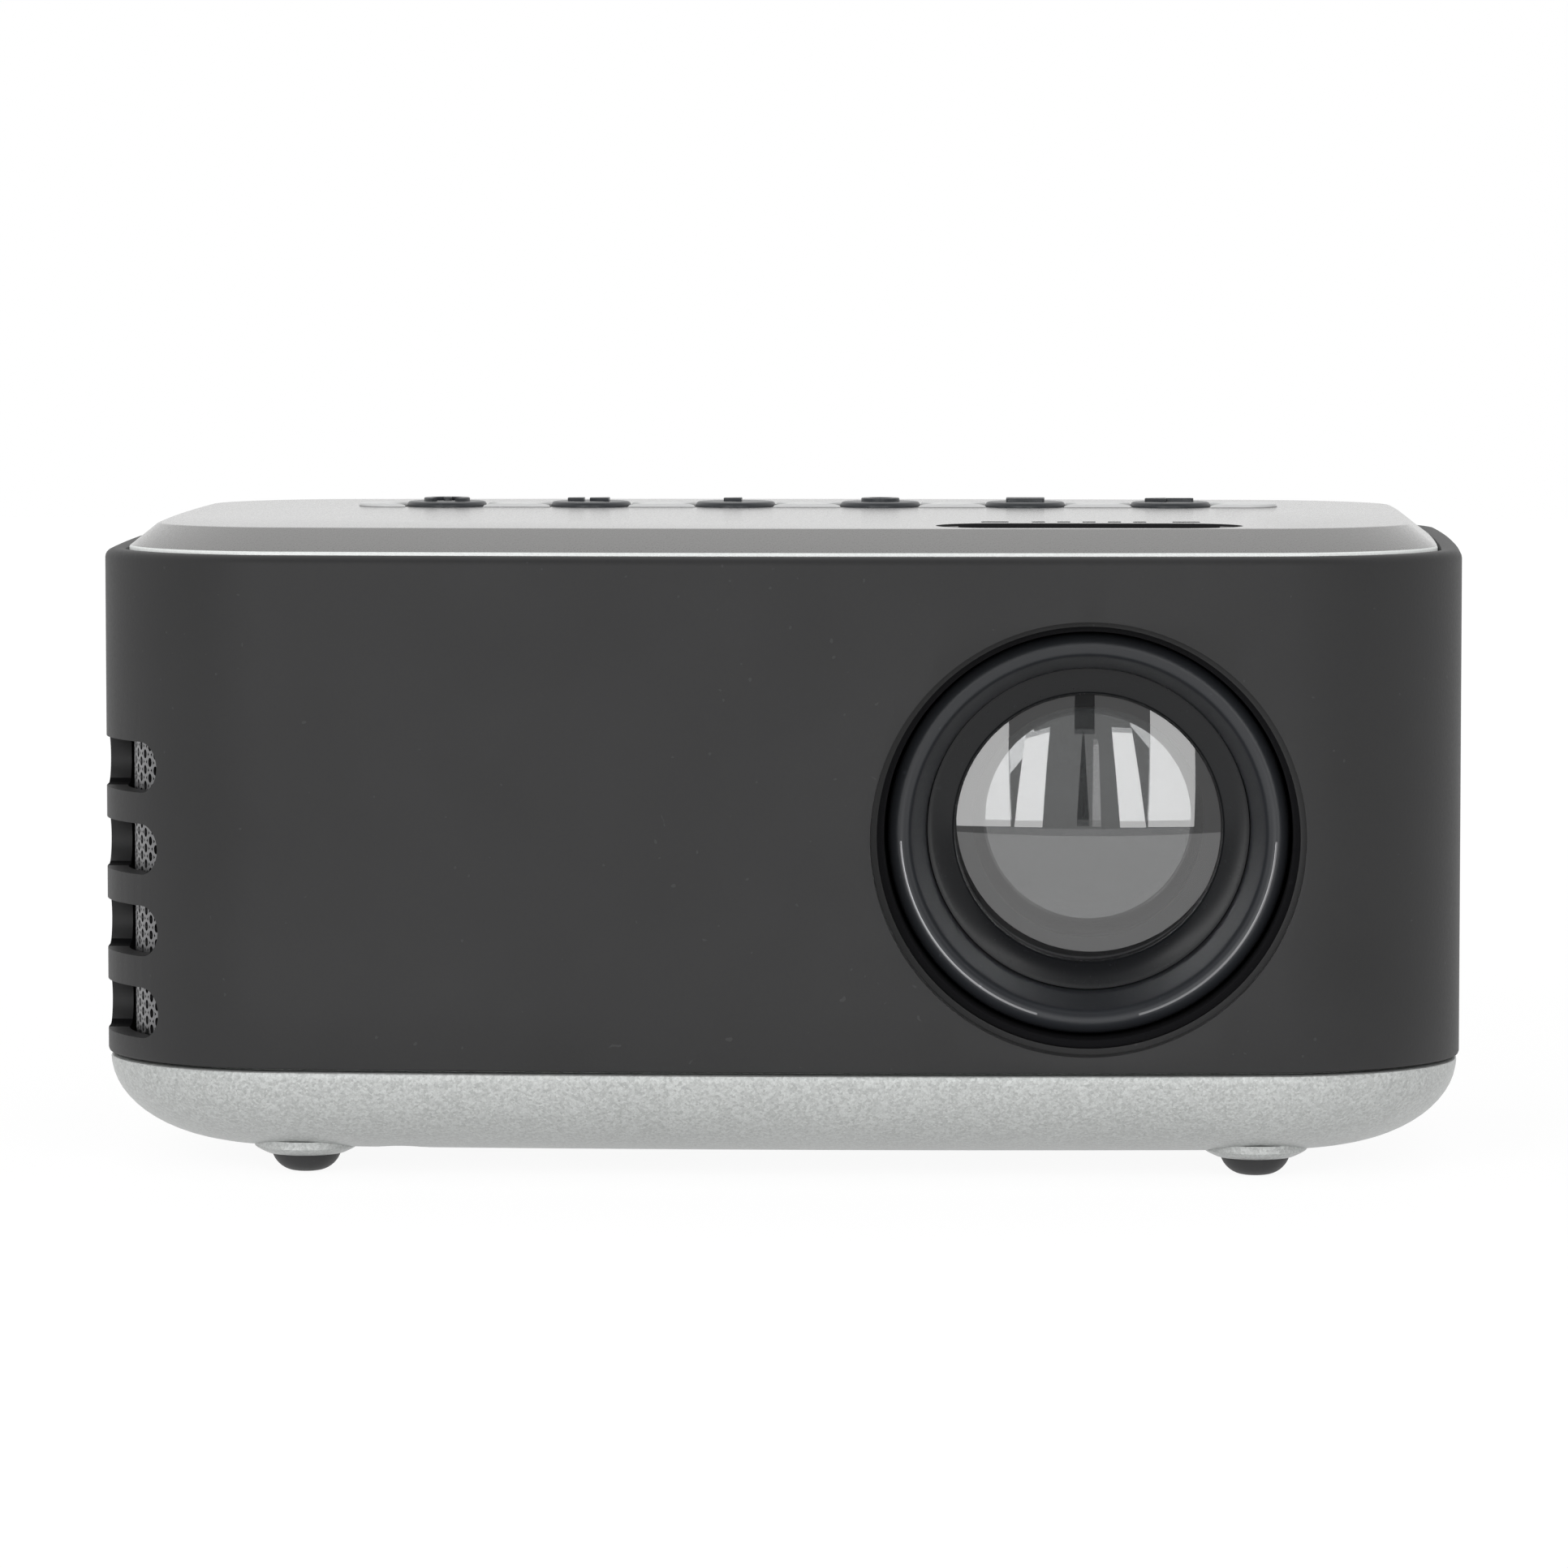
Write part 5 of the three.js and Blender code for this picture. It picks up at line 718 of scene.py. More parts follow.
class PROJECTOR_OT_tray(bpy.types.Operator):
    """Builds the silver tray with its pads, screw holes, intake slots and sound holes"""
    bl_idname = "projector.tray"
    bl_label = "Tray"

    def execute(self, context):
        settings = context.scene.projector
        case, tray = settings.case, settings.tray
        paint = flaked_paint("tray_paint", settings.colours.tray, 0.42, 0.18, 0.26 * MM, 0.34,
                             Coat_Weight=0.12, Coat_Roughness=0.3)
        shell = swept(case, self.stations(case, tray), False, "tray_shell", paint)
        low = tray.underside - tray.boss_drop
        places = [(x, y) for x in (-tray.foot_x, tray.foot_x) for y in (-tray.foot_y, tray.foot_y)]
        pads = [self.pad(tray, low, x, y) for x, y in places]
        cuts = [drill(STEM_RADIUS, low - MM, low + 2 * MM, x, y, "stem_hole", 32) for x, y in places]
        for k in range(1, 5):
            x, y, _ = box_middle("case_screw_%d" % k)
            cuts.append(drill(SCREW_WELL_RADIUS, 0, SCREW_WELL_TOP, x, y, "screw_hole", 48))
        x, y, _ = box_middle("tripod_insert")
        cuts.append(drill(INSERT_RADIUS, 0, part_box("tripod_insert")[1].z, x, y, "insert_hole", 64))
        cuts += [slab(INTAKE_LENGTH, INTAKE_WIDTH, INTAKE_WIDTH / 2, 0, 6 * MM, "intake",
                      (INTAKE_X, INTAKE_Y + INTAKE_PITCH * k)) for k in range(-2, 3)]
        x, y, _ = box_middle("speaker")
        for k in range(7):
            reach = SOUND_RING_RADIUS if k else 0
            cuts.append(drill(SOUND_HOLE_RADIUS, 0, 6 * MM, x + reach * math.cos(TURN * k / 6),
                              y + reach * math.sin(TURN * k / 6), "sound_hole", 24))
        carve(shell, *pads, operation="UNION")
        carve(shell, *cuts)
        dress(shell, CASE, "silver_tray", "bottom_tray")
        return {"FINISHED"}

    def stations(self, case, tray):
        """The tray's section: from the underside up its rounded side, over the tongue and down inside."""
        drop = tray.top - tray.underside
        tongue = case.wall + case.gap
        inside = tongue + MM
        outer = [(tray.inset + tray.round_run * (1 - math.cos(QUARTER * k / 16)),
                  tray.top - drop * math.sin(QUARTER * k / 16)) for k in range(16, 0, -1)]
        inner = [(inside + (tray.round_run - TRAY_WALL) * (1 - math.cos(QUARTER * k / 6)),
                  tray.top - (drop - TRAY_WALL) * math.sin(QUARTER * k / 6)) for k in range(7)]
        return outer + [(tray.inset, tray.top - TRAY_EDGE),
                        (tray.inset + TRAY_EDGE * 0.3, tray.top - TRAY_EDGE * 0.3),
                        (tray.inset + TRAY_EDGE, tray.top), (tongue, tray.top), (tongue, TRAY_TONGUE),
                        (inside, TRAY_TONGUE)] + inner

    def pad(self, tray, low, x, y):
        """The cone that a foot is set in."""
        rise = tray.underside + 0.25 * MM - low
        side = [(tray.boss_radius - PAD_FLARE * (1 - k / 6) ** 1.3, low + rise * k / 6) for k in range(7)]
        top = tray.underside + MM
        return turned([(0, low), *side, (tray.boss_radius, top), (0, top)], (x, y, 0), UP, "pad", steps=64)


COVER_WALL, COVER_ROUND, COVER_LIP = 2 * MM, 0.12 * MM, 0.22 * MM
SKIRT_LENGTH = 5 * MM
WELL_RADIUS, WELL_THROAT, WELL_MOUTH = 5.35 * MM, 5.45 * MM, 5.8 * MM
# The grey seam round the light strip is painted shade of the gap between strip and cover
SEAM_WIDTH, SEAM_RISE = 0.05 * MM, 0.07 * MM
MARK_DEPTH, MARK_DISTANCE = 1.6 * MM, 3 * MM
# Place and width of each mark, in millimetres
MARKS = ((-9.3, 2.7), (-5.0, 1.3), (-2.5, 1.3), (0, 1.3), (2.5, 1.3), (5.0, 1.3), (9.6, 2.7))


class PROJECTOR_OT_cover(bpy.types.Operator):
    """Builds the silver top cover, the light strip and the marks behind the focus slot"""
    bl_idname = "projector.cover"
    bl_label = "Cover"

    def execute(self, context):
        settings = context.scene.projector
        self.shell(settings)
        self.strip(settings)
        self.marks(settings)
        return {"FINISHED"}

    def shell(self, settings):
        """The cover itself, lower at the back, with its key holes and its finger scoop."""
        case, slot, colours = settings.case, settings.slot, settings.colours
        paint = flaked_paint("cover_paint", colours.cover, 0.34, 0.35, 0.13 * MM, 0.07, 0.2,
                             Coat_Weight=0.7, Coat_Roughness=0.18)
        # A lighter copy of the tray's paint on the cover's lip under the bevel: a painted highlight
        lip_highlight = flaked_paint("lip_painted_highlight", shade(colours.tray, 1.75), 0.4, 0.1, 0.14 * MM, 0.1)
        cover = swept(case, self.stations(case), False, "cover_shell", paint)
        coat_faces(cover, lip_highlight, lambda spot: spot.z < case.cover_edge + 0.02 * MM)
        lean(case, cover)
        z = top_height(case, -slot.y)
        opening = slab(slot.length - 2 * slot.run, slot.width - 2 * slot.run, slot.width / 2 - slot.run,
                       z - 6 * MM, z + 2 * MM, "opening", (LENS_AXIS.x, -slot.y))
        carve(cover, *key_holes(case, settings.keys), scoop_cutter(slot, z), opening)
        # Near black on the scoop's faces and on a thin edge round its end dishes: painted shade of the hollow
        black = moulded("scoop_painted_shade", (0.008, 0.008, 0.009), 0.6, Specular_IOR_Level=0.2)

        def in_scoop(spot):
            """Whether a spot takes the scoop's painted shade: in the scoop apart from the dishes at its ends,
            or on a thin edge round those dishes.
            """
            across, along = abs(spot.x - LENS_AXIS.x), abs(spot.y + slot.y)
            return (across < slot.length / 2 and along < slot.width / 2
                    and z - 3 * MM < spot.z < z - 0.03 * MM
                    and (across < scoop_reach(slot) or spot.z > z - 0.3 * MM))

        coat_faces(cover, black, in_scoop)
        dress(cover, CASE, "silver_cover", "top_cover")

    def stations(self, case):
        """The cover's section: from under its top out and down inside the skirt, and up its outer side."""
        inset = case.wall + case.gap
        ridge = inset + case.bevel_run
        inner, low = inset + COVER_WALL, BAND_HIGH.z - SKIRT_LENGTH
        lip, edge = COVER_LIP, COVER_ROUND
        return [(ridge, case.cover_top - COVER_WALL), (inner, case.cover_edge - COVER_WALL / 2),
                (inner, low), (inset, low), (inset, case.cover_edge - lip),
                (inset + lip * 0.12, case.cover_edge - lip * 0.5), (inset + lip * 0.5, case.cover_edge),
                (inset + lip * 1.3, case.cover_edge + lip * 0.6), (ridge - edge, case.cover_top - edge / 2),
                (ridge, case.cover_top - edge / 8), (ridge + edge, case.cover_top)]

    def strip(self, settings):
        """The light strip and the grey seam under it, which paints the shadow in the gap round the strip,
        both cleared round the keys.
        """
        case, keys = settings.case, settings.keys
        row = top_height(case, keys.row_y)
        high = row + keys.strip_rise
        below, above = row - OVERRUN, row + OVERRUN
        well = [(0, below), (WELL_RADIUS, below), (WELL_RADIUS, high - 0.3 * MM),
                (WELL_THROAT, high - 0.12 * MM), (WELL_MOUTH, high), (WELL_MOUTH, above), (0, above)]
        light = moulded("strip_plastic", settings.colours.strip, 0.35, spread=0.04, Coat_Weight=0.2)
        seam_shade = moulded("seam_painted_shade", (0.30, 0.30, 0.30), 0.5)
        for name, margin, top, plastic, edge in (("light_strip", 0, high, light, 0.25 * MM),
                                                 ("strip_seam", SEAM_WIDTH, row + SEAM_RISE, seam_shade, 0)):
            piece = slab(keys.strip_length + 2 * margin, keys.strip_width + 2 * margin,
                         keys.strip_width / 2 + margin, row - MM, top, name, (keys.strip_x, keys.row_y),
                         plastic, 16, edge)
            carve(piece, *[turned(well, (x, keys.row_y, 0), UP, "well", steps=64) for x in key_places(keys)])
            dress(piece, CASE, "silver_cover", "top_cover")

    def marks(self, settings):
        """Plain ticks behind the focus slot, with a longer one at each end."""
        case, slot = settings.case, settings.slot
        ink = moulded("mark_ink", (0.07, 0.07, 0.075), 0.6, Specular_IOR_Level=0.1)
        y = -slot.y + slot.width / 2 + MARK_DISTANCE
        z = top_height(case, y)
        for k, (x, width) in enumerate(MARKS, 1):
            mark = slab(width * MM, MARK_DEPTH, 0.35 * MM, z - 0.02 * MM, z + 0.03 * MM,
                        "focus_mark_%d" % k, (LENS_AXIS.x + x * MM, y), ink, 6)
            dress(mark, CASE, "silver_cover")


def lean(case, piece):
    """Lowers both faces of the top towards the back."""
    for vert in piece.data.vertices:
        inner = abs(vert.co.z - case.cover_top + COVER_WALL) < 0.1 * MM
        if inner or vert.co.z > case.cover_edge - 0.2 * MM:
            share = (vert.co.z - case.cover_edge) / (case.cover_top - case.cover_edge)
            vert.co.z -= min(max(share, 0), 1) * case.fall * (vert.co.y / case.depth + 0.5)


def key_places(keys):
    """X of each key, from left to right."""
    return [keys.row_x + (k - (keys.count - 1) / 2) * keys.pitch for k in range(keys.count)]


def key_holes(case, keys):
    """Cutters for the holes that the keys move in."""
    z = top_height(case, keys.row_y)
    return [drill(keys.hole_radius, z - 4 * MM, z + 3 * MM, x, keys.row_y, "key_hole", 64)
            for x in key_places(keys)]


def scoop_reach(slot):
    """Half the length of the scoop's black part."""
    return slot.length / 2 - slot.run - 0.05 * MM


def scoop_cutter(slot, z):
    """The finger scoop: a rounded dish that narrows to the straight opening."""
    rings = 8
    bm = bmesh.new()
    inner = slot.width - 2 * slot.run
    rounded_plan(bm, slot.length - 2 * slot.run, inner, inner / 2, 16)
    bmesh.ops.delete(bm, geom=bm.faces[:], context="FACES_ONLY")
    ring = bm.edges[:]
    bmesh.ops.edgeloop_fill(bm, edges=ring)
    straight = (slot.length - slot.width) / 2
    for k in range(1, rings + 1):
        angle = QUARTER * k / rings
        grow = inner / 2 + slot.run * math.sin(angle)
        before = max(abs(vert.co.y) for edge in ring for vert in edge.verts)
        ring = ring_edges(bmesh.ops.extrude_edge_only(bm, edges=ring))
        for vert in {vert for edge in ring for vert in edge.verts}:
            side = math.copysign(straight, vert.co.x) if abs(vert.co.x) > straight else vert.co.x
            away = Vector((vert.co.x - side, vert.co.y, 0))
            if away.length > MM / 1000000:
                spot = Vector((side, 0, 0)) + away * (grow / before)
                vert.co = Vector((spot.x, spot.y, slot.depth * (1 - math.cos(angle))))
    ring = ring_edges(bmesh.ops.extrude_edge_only(bm, edges=ring))
    bmesh.ops.translate(bm, vec=(0, 0, OVERRUN), verts=list({vert for edge in ring for vert in edge.verts}))
    bmesh.ops.edgeloop_fill(bm, edges=ring)
    for side in (-1, 1):
        cut_across(bm, side * scoop_reach(slot))
    bmesh.ops.translate(bm, vec=(LENS_AXIS.x, -slot.y, z - slot.depth), verts=bm.verts[:])
    bmesh.ops.recalc_face_normals(bm, faces=bm.faces[:])
    return to_object(bm, "scoop")


class PROJECTOR_OT_meshes(bpy.types.Operator):
    """Builds the perforated sheets behind the vent slots"""
    bl_idname = "projector.meshes"
    bl_label = "Vent Meshes"

    def execute(self, context):
        settings = context.scene.projector
        case, vents = settings.case, settings.vents
        sheet_metal = metal("mesh_metal", settings.colours.mesh, 0.38)
        for back, name in ((False, "front"), (True, "rear")):
            piece = perforated(case, vents, back, "vent_sheet_" + name, sheet_metal)
            dress(piece, CASE, "mesh", "vent_mesh_" + name)
        return {"FINISHED"}


SHEET_DEPTH = 1.1 * MM          # how far behind the band's wall the sheet lies


def perforated(case, vents, back, name, material):
    """A sheet of six-sided tiles, each with a round hole, bent round the corner."""
    low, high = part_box("vent_mesh_rear" if back else "vent_mesh_front")
    pitch = vents.hole_pitch
    row = pitch * math.sqrt(3) / 2
    columns = int((vents.slot_length + 2 * MM) / row)
    rows = int((high.z - low.z) / pitch) - 1
    bm = bmesh.new()
    bmesh.ops.create_circle(bm, cap_ends=False, segments=6, radius=pitch / math.sqrt(3))
    bmesh.ops.subdivide_edges(bm, edges=bm.edges[:], cuts=1)
    outer = bm.edges[:]
    made = bmesh.ops.create_circle(bm, cap_ends=False, segments=12, radius=vents.hole_radius)
    inner = list({edge for vert in made["verts"] for edge in vert.link_edges})
    bmesh.ops.bridge_loops(bm, edges=outer + inner)
    tile = bm.verts[:] + bm.edges[:] + bm.faces[:]
    for column in range(columns):
        for line in range(rows):
            if column or line:
                copy = bmesh.ops.duplicate(bm, geom=tile)["geom"]
                bmesh.ops.translate(bm, vec=(column * row, line * pitch + (column % 2) * pitch / 2, 0),
                                    verts=[item for item in copy if isinstance(item, bmesh.types.BMVert)])
    bmesh.ops.remove_doubles(bm, verts=bm.verts[:], dist=pitch * 0.02)
    start = vents.middle_run - (columns - 1) * row / 2
    middle = (low.z + high.z) / 2 - (rows - 0.5) * pitch / 2
    bmesh.ops.translate(bm, vec=(start, middle, case.wall + SHEET_DEPTH), verts=bm.verts[:])
    bmesh.ops.recalc_face_normals(bm, faces=bm.faces[:])
    bmesh.ops.solidify(bm, geom=bm.faces[:], thickness=vents.sheet)
    for vert in bm.verts:
        bend_round_corner(case, vert, back)
    bmesh.ops.recalc_face_normals(bm, faces=bm.faces[:])
    return to_object(bm, name, material)


KEY_STEM_RADIUS, KEY_FLANGE_RADIUS = 1.5 * MM, 5.2 * MM
KEY_FLANGE_LOW, KEY_FLANGE_HIGH = 1.1 * MM, 2 * MM          # above the stem's end
KEY_SOFT, KEY_CROWN = 0.38 * MM, 0.04 * MM
SYMBOL_LINE, SYMBOL_SINK, SYMBOL_RISE, SYMBOL_SOFT = 0.8 * MM, 0.1 * MM, 0.38 * MM, 0.08 * MM


class PROJECTOR_OT_keys(bpy.types.Operator):
    """Builds the keys with their raised symbols"""
    bl_idname = "projector.keys"
    bl_label = "Keys"

    def execute(self, context):
        settings = context.scene.projector
        case, keys = settings.case, settings.keys
        plastic = moulded("key_plastic", settings.colours.key, 0.42, Coat_Weight=0.1)
        top = top_height(case, keys.row_y) + keys.rise
        for k, x in enumerate(key_places(keys)):
            node = "key_%d" % (k + 1)
            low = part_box(node)[0].z
            flange_low, flange_high = low + KEY_FLANGE_LOW, low + KEY_FLANGE_HIGH
            profile = [(0, low), (KEY_STEM_RADIUS, low), (KEY_STEM_RADIUS, flange_low),
                       (KEY_FLANGE_RADIUS, flange_low), (KEY_FLANGE_RADIUS, flange_high),
                       (keys.radius, flange_high),
                       *curve_points(keys.radius - KEY_SOFT, top - KEY_SOFT, KEY_SOFT, 0, QUARTER, 5),
                       (keys.radius * 0.6, top + KEY_CROWN / 2), (0, top + KEY_CROWN)]
            cap = turned(profile, (x, keys.row_y, 0), UP, "cap_%d" % (k + 1), plastic, 64)
            dress(cap, node, "key", node)
            for n, symbol in enumerate(key_symbol(k, x, keys.row_y, top, plastic)):
                symbol.name = "symbol_%d_%d" % (k + 1, n + 1)
                dress(symbol, node, "key")
        return {"FINISHED"}


def key_symbol(k, x, y, top, material):
    """Plain raised symbols: a broken ring with a bar, arrows, a ring, bars and a bent arrow."""
    low, high = top - SYMBOL_SINK, top + SYMBOL_RISE
    line, soft = SYMBOL_LINE, SYMBOL_SOFT

    def bar(dx, dy, width, depth):
        return slab(width, depth, 0.25 * MM, low, high, "symbol", (x + dx, y + dy), material, 4, soft)

    def hoop(outer, sweep):
        bm = bmesh.new()
        profile = [(outer - line, low), (outer, low), (outer, high - soft), (outer - soft, high),
                   (outer - line + soft, high), (outer - line, high - soft)]
        start = -QUARTER - (TURN - sweep) / 2 - sweep
        face = bm.faces.new([bm.verts.new((x + radius * math.cos(start), y + radius * math.sin(start), z))
                             for radius, z in profile])
        full = sweep > TURN - 0.01
        bmesh.ops.spin(bm, geom=[face], cent=(x, y, 0), axis=UP, angle=sweep, steps=40, use_merge=full)
        if full:
            caps = [item for item in bm.faces if len(item.verts) > 4]
            bmesh.ops.delete(bm, geom=caps, context="FACES_ONLY")
            bmesh.ops.remove_doubles(bm, verts=bm.verts[:], dist=MM / 10000)
        bmesh.ops.recalc_face_normals(bm, faces=bm.faces[:])
        return to_object(bm, "symbol", material)

    def arrow(dx, size):
        bm = bmesh.new()
        bmesh.ops.create_circle(bm, cap_ends=True, segments=3, radius=size)
        thickened(bm, high - low)
        bmesh.ops.rotate(bm, cent=(0, 0, 0), matrix=Matrix.Rotation(QUARTER, 3, "Z"), verts=bm.verts[:])
        bmesh.ops.translate(bm, vec=(x + dx, y, low), verts=bm.verts[:])
        bmesh.ops.recalc_face_normals(bm, faces=bm.faces[:])
        bevelled(bm, bm.edges[:], soft, 2)
        return to_object(bm, "symbol", material)

    return [
        lambda: [hoop(2.4 * MM, TURN * 0.8), bar(0, 1.4 * MM, line, 2.2 * MM)],
        lambda: [arrow(-1.3 * MM, 1.2 * MM), arrow(1.2 * MM, 1.4 * MM)],
        lambda: [arrow(0, 1.3 * MM)],
        lambda: [hoop(2 * MM, TURN)],
        lambda: [bar(0, dy * MM, 4 * MM, line) for dy in (-1.35, 0, 1.35)],
        lambda: [arrow(-1.2 * MM, 1.5 * MM), bar(0.9 * MM, 0, 3 * MM, line)],
    ][k % 6]()


# Profiles of the turned lens parts, as (radius, station) pairs in millimetres
SLEEVE = ((19.9, 13.3), (23, 13.3), (23, 20.1), (21.4, 20.1), (21.4, 38.5), (21.3, 38.6), (20.0, 38.6),
          (19.9, 38.5))
BARREL_OUTSIDE = ((19.6, 16.2), (19.6, 19.2), (18, 19.2), (18, 31), (19.6, 31))
BARREL_SEATS = ((15.9, 29.7), (15.9, 27.4), (15.1, 27.4), (15.1, 24.3), (14, 24.3), (14, 21.9), (11.5, 21.9),
                (11.4, 21.3), (11.5, 20.7), (12.6, 20.7), (12.6, 16.2))


RING = ((13.2, 27.7), (15.86, 27.7), (15.86, 29.6), (15.8, 29.7), (15.3, 29.68), (13.45, 28.75),
        (13.28, 28.65), (13.2, 28.5))


# Faces on the crown between these radii and ahead of this station, at the lower left and right, take a paler
# metal-like copy of the plastic: a painted highlight
RIDGE_RADII, RIDGE_STATION = (18.2 * MM, 18.4 * MM), 35 * MM
STOP_STATION = 28 * MM          # behind it, the barrel is dull black


class PROJECTOR_OT_lens(bpy.types.Operator):
    """Builds the lens barrel, its ring, the glass and the sleeve round them"""
    bl_idname = "projector.lens"
    bl_label = "Lens"

    def execute(self, context):
        black = context.scene.projector.colours.lens_plastic
        gloss = moulded("barrel_plastic", black, 0.33, spread=0.06, depth=0.001 * MM, Specular_IOR_Level=0.5)
        ridge_highlight = moulded("ridge_painted_highlight", (0.30, 0.30, 0.31), 0.12, spread=0.1, depth=0.002 * MM,
                           Metallic=0.6)
        matt = moulded("ring_plastic", shade(black, 0.3), 0.25, spread=0.1, depth=0.001 * MM,
                       Specular_IOR_Level=0.33)
        dark = moulded("stop_black", (0.005, 0.005, 0.006), 0.8, Specular_IOR_Level=0.2)
        glass = clear("lens_glass", (0.95, 0.96, 0.97), 1.0, Coat_Weight=1.0, Coat_IOR=2.1,
                      Coat_Roughness=0.01)
        coated = clear("lens_back", (0.97, 0.98, 0.98), 1.0)
        crown = curve_points(18.37, 34.95, 1.23, 0, 1.78 * QUARTER, 18)
        funnel = [(17.2 - 1.3 * k / 6, 35.35 - 3.7 * k / 6) for k in range(1, 7)]

        def on_ridge(spot):
            """Whether a spot lies on the low sides of the crown's top, which take a painted highlight."""
            away, station = from_axis(spot)
            return (RIDGE_RADII[0] < away < RIDGE_RADII[1] and station > RIDGE_STATION
                    and spot.z < LENS_AXIS.z - MM and abs(spot.x - LENS_AXIS.x) > 5 * MM)

        dress(lens_piece(in_mm(SLEEVE), "sleeve_tube", dark), CASE, "lens_plastic", "lens_sleeve")
        barrel = lens_piece(in_mm((*BARREL_OUTSIDE, *crown, *funnel, *BARREL_SEATS)), "barrel_tube",
                            gloss, 160)
        coat_faces(barrel, dark, lambda spot: from_axis(spot)[1] < STOP_STATION)
        coat_faces(barrel, ridge_highlight, on_ridge)
        dress(barrel, "lens_barrel", "lens_plastic", "lens_barrel")
        ring = lens_piece(in_mm(RING), "retaining_ring", matt, 160)
        dress(ring, "lens_barrel", "lens_plastic", "lens_ring")
        front = lens_piece(lens_profile(14.8, 24.6, -1.8, 27.7, 1.95), "front_glass", glass, 160)
        coat_faces(front, coated, lambda spot: from_axis(spot)[1] < 27.69 * MM)
        dress(front, "lens_barrel", "glass", "front_lens")
        rear = lens_piece(lens_profile(12.3, 18.4, -1.2, 20.4, 1.34), "rear_glass", glass)
        coat_faces(rear, coated, lambda spot: from_axis(spot)[1] < 20.4 * MM)
        dress(rear, "lens_barrel", "glass", "rear_lens")
        return {"FINISHED"}


def in_mm(profile):
    """A profile given in millimetres, in metres."""
    return [(radius * MM, station * MM) for radius, station in profile]


def lens_profile(radius, back, back_bulge, front, front_bulge):
    """Both faces of a round lens as parts of spheres, from sizes in millimetres."""
    steps = 20

    def face(edge, bulge):
        ball = (radius ** 2 + bulge ** 2) / (2 * abs(bulge))
        spots = []
        for k in range(steps + 1):
            out = radius * k / steps
            sag = ball - math.sqrt(ball ** 2 - out ** 2)
            spots.append((out, edge + math.copysign(abs(bulge) - sag, bulge)))
        return spots

    return in_mm(face(back, back_bulge) + face(front, front_bulge)[::-1])


class PROJECTOR_OT_focus_wheel(bpy.types.Operator):
    """Gives the focus wheel its ribbed plastic"""
    bl_idname = "projector.focus_wheel"
    bl_label = "Focus Wheel"

    def execute(self, context):
        finish_nodes(moulded("wheel_plastic", (0.022, 0.022, 0.023), 0.42), "focus_wheel")
        return {"FINISHED"}


FOOT_FLAT, FOOT_STEM_RADIUS, FOOT_STEM_TOP = MM, 1.5 * MM, 3.4 * MM
FOOT_LEAN = 0.2 * QUARTER
SCREW_SHANK_RADIUS, SCREW_FLAT_RADIUS, SCREW_HEAD_RADIUS, SCREW_TIP = MM, 1.6 * MM, 2.2 * MM, MM
SCREW_HEAD, SCREW_DOME, SCREW_DRIVE = 1.6 * MM, 0.5 * MM, 0.8 * MM
INSERT_OUTER, INSERT_BORE, THREAD_ROOT, THREAD_CREST = 4.6 * MM, 3.3 * MM, 3.35 * MM, 3.0 * MM
THREAD_TURNS, THREAD_MARGIN = 10, 0.3 * MM


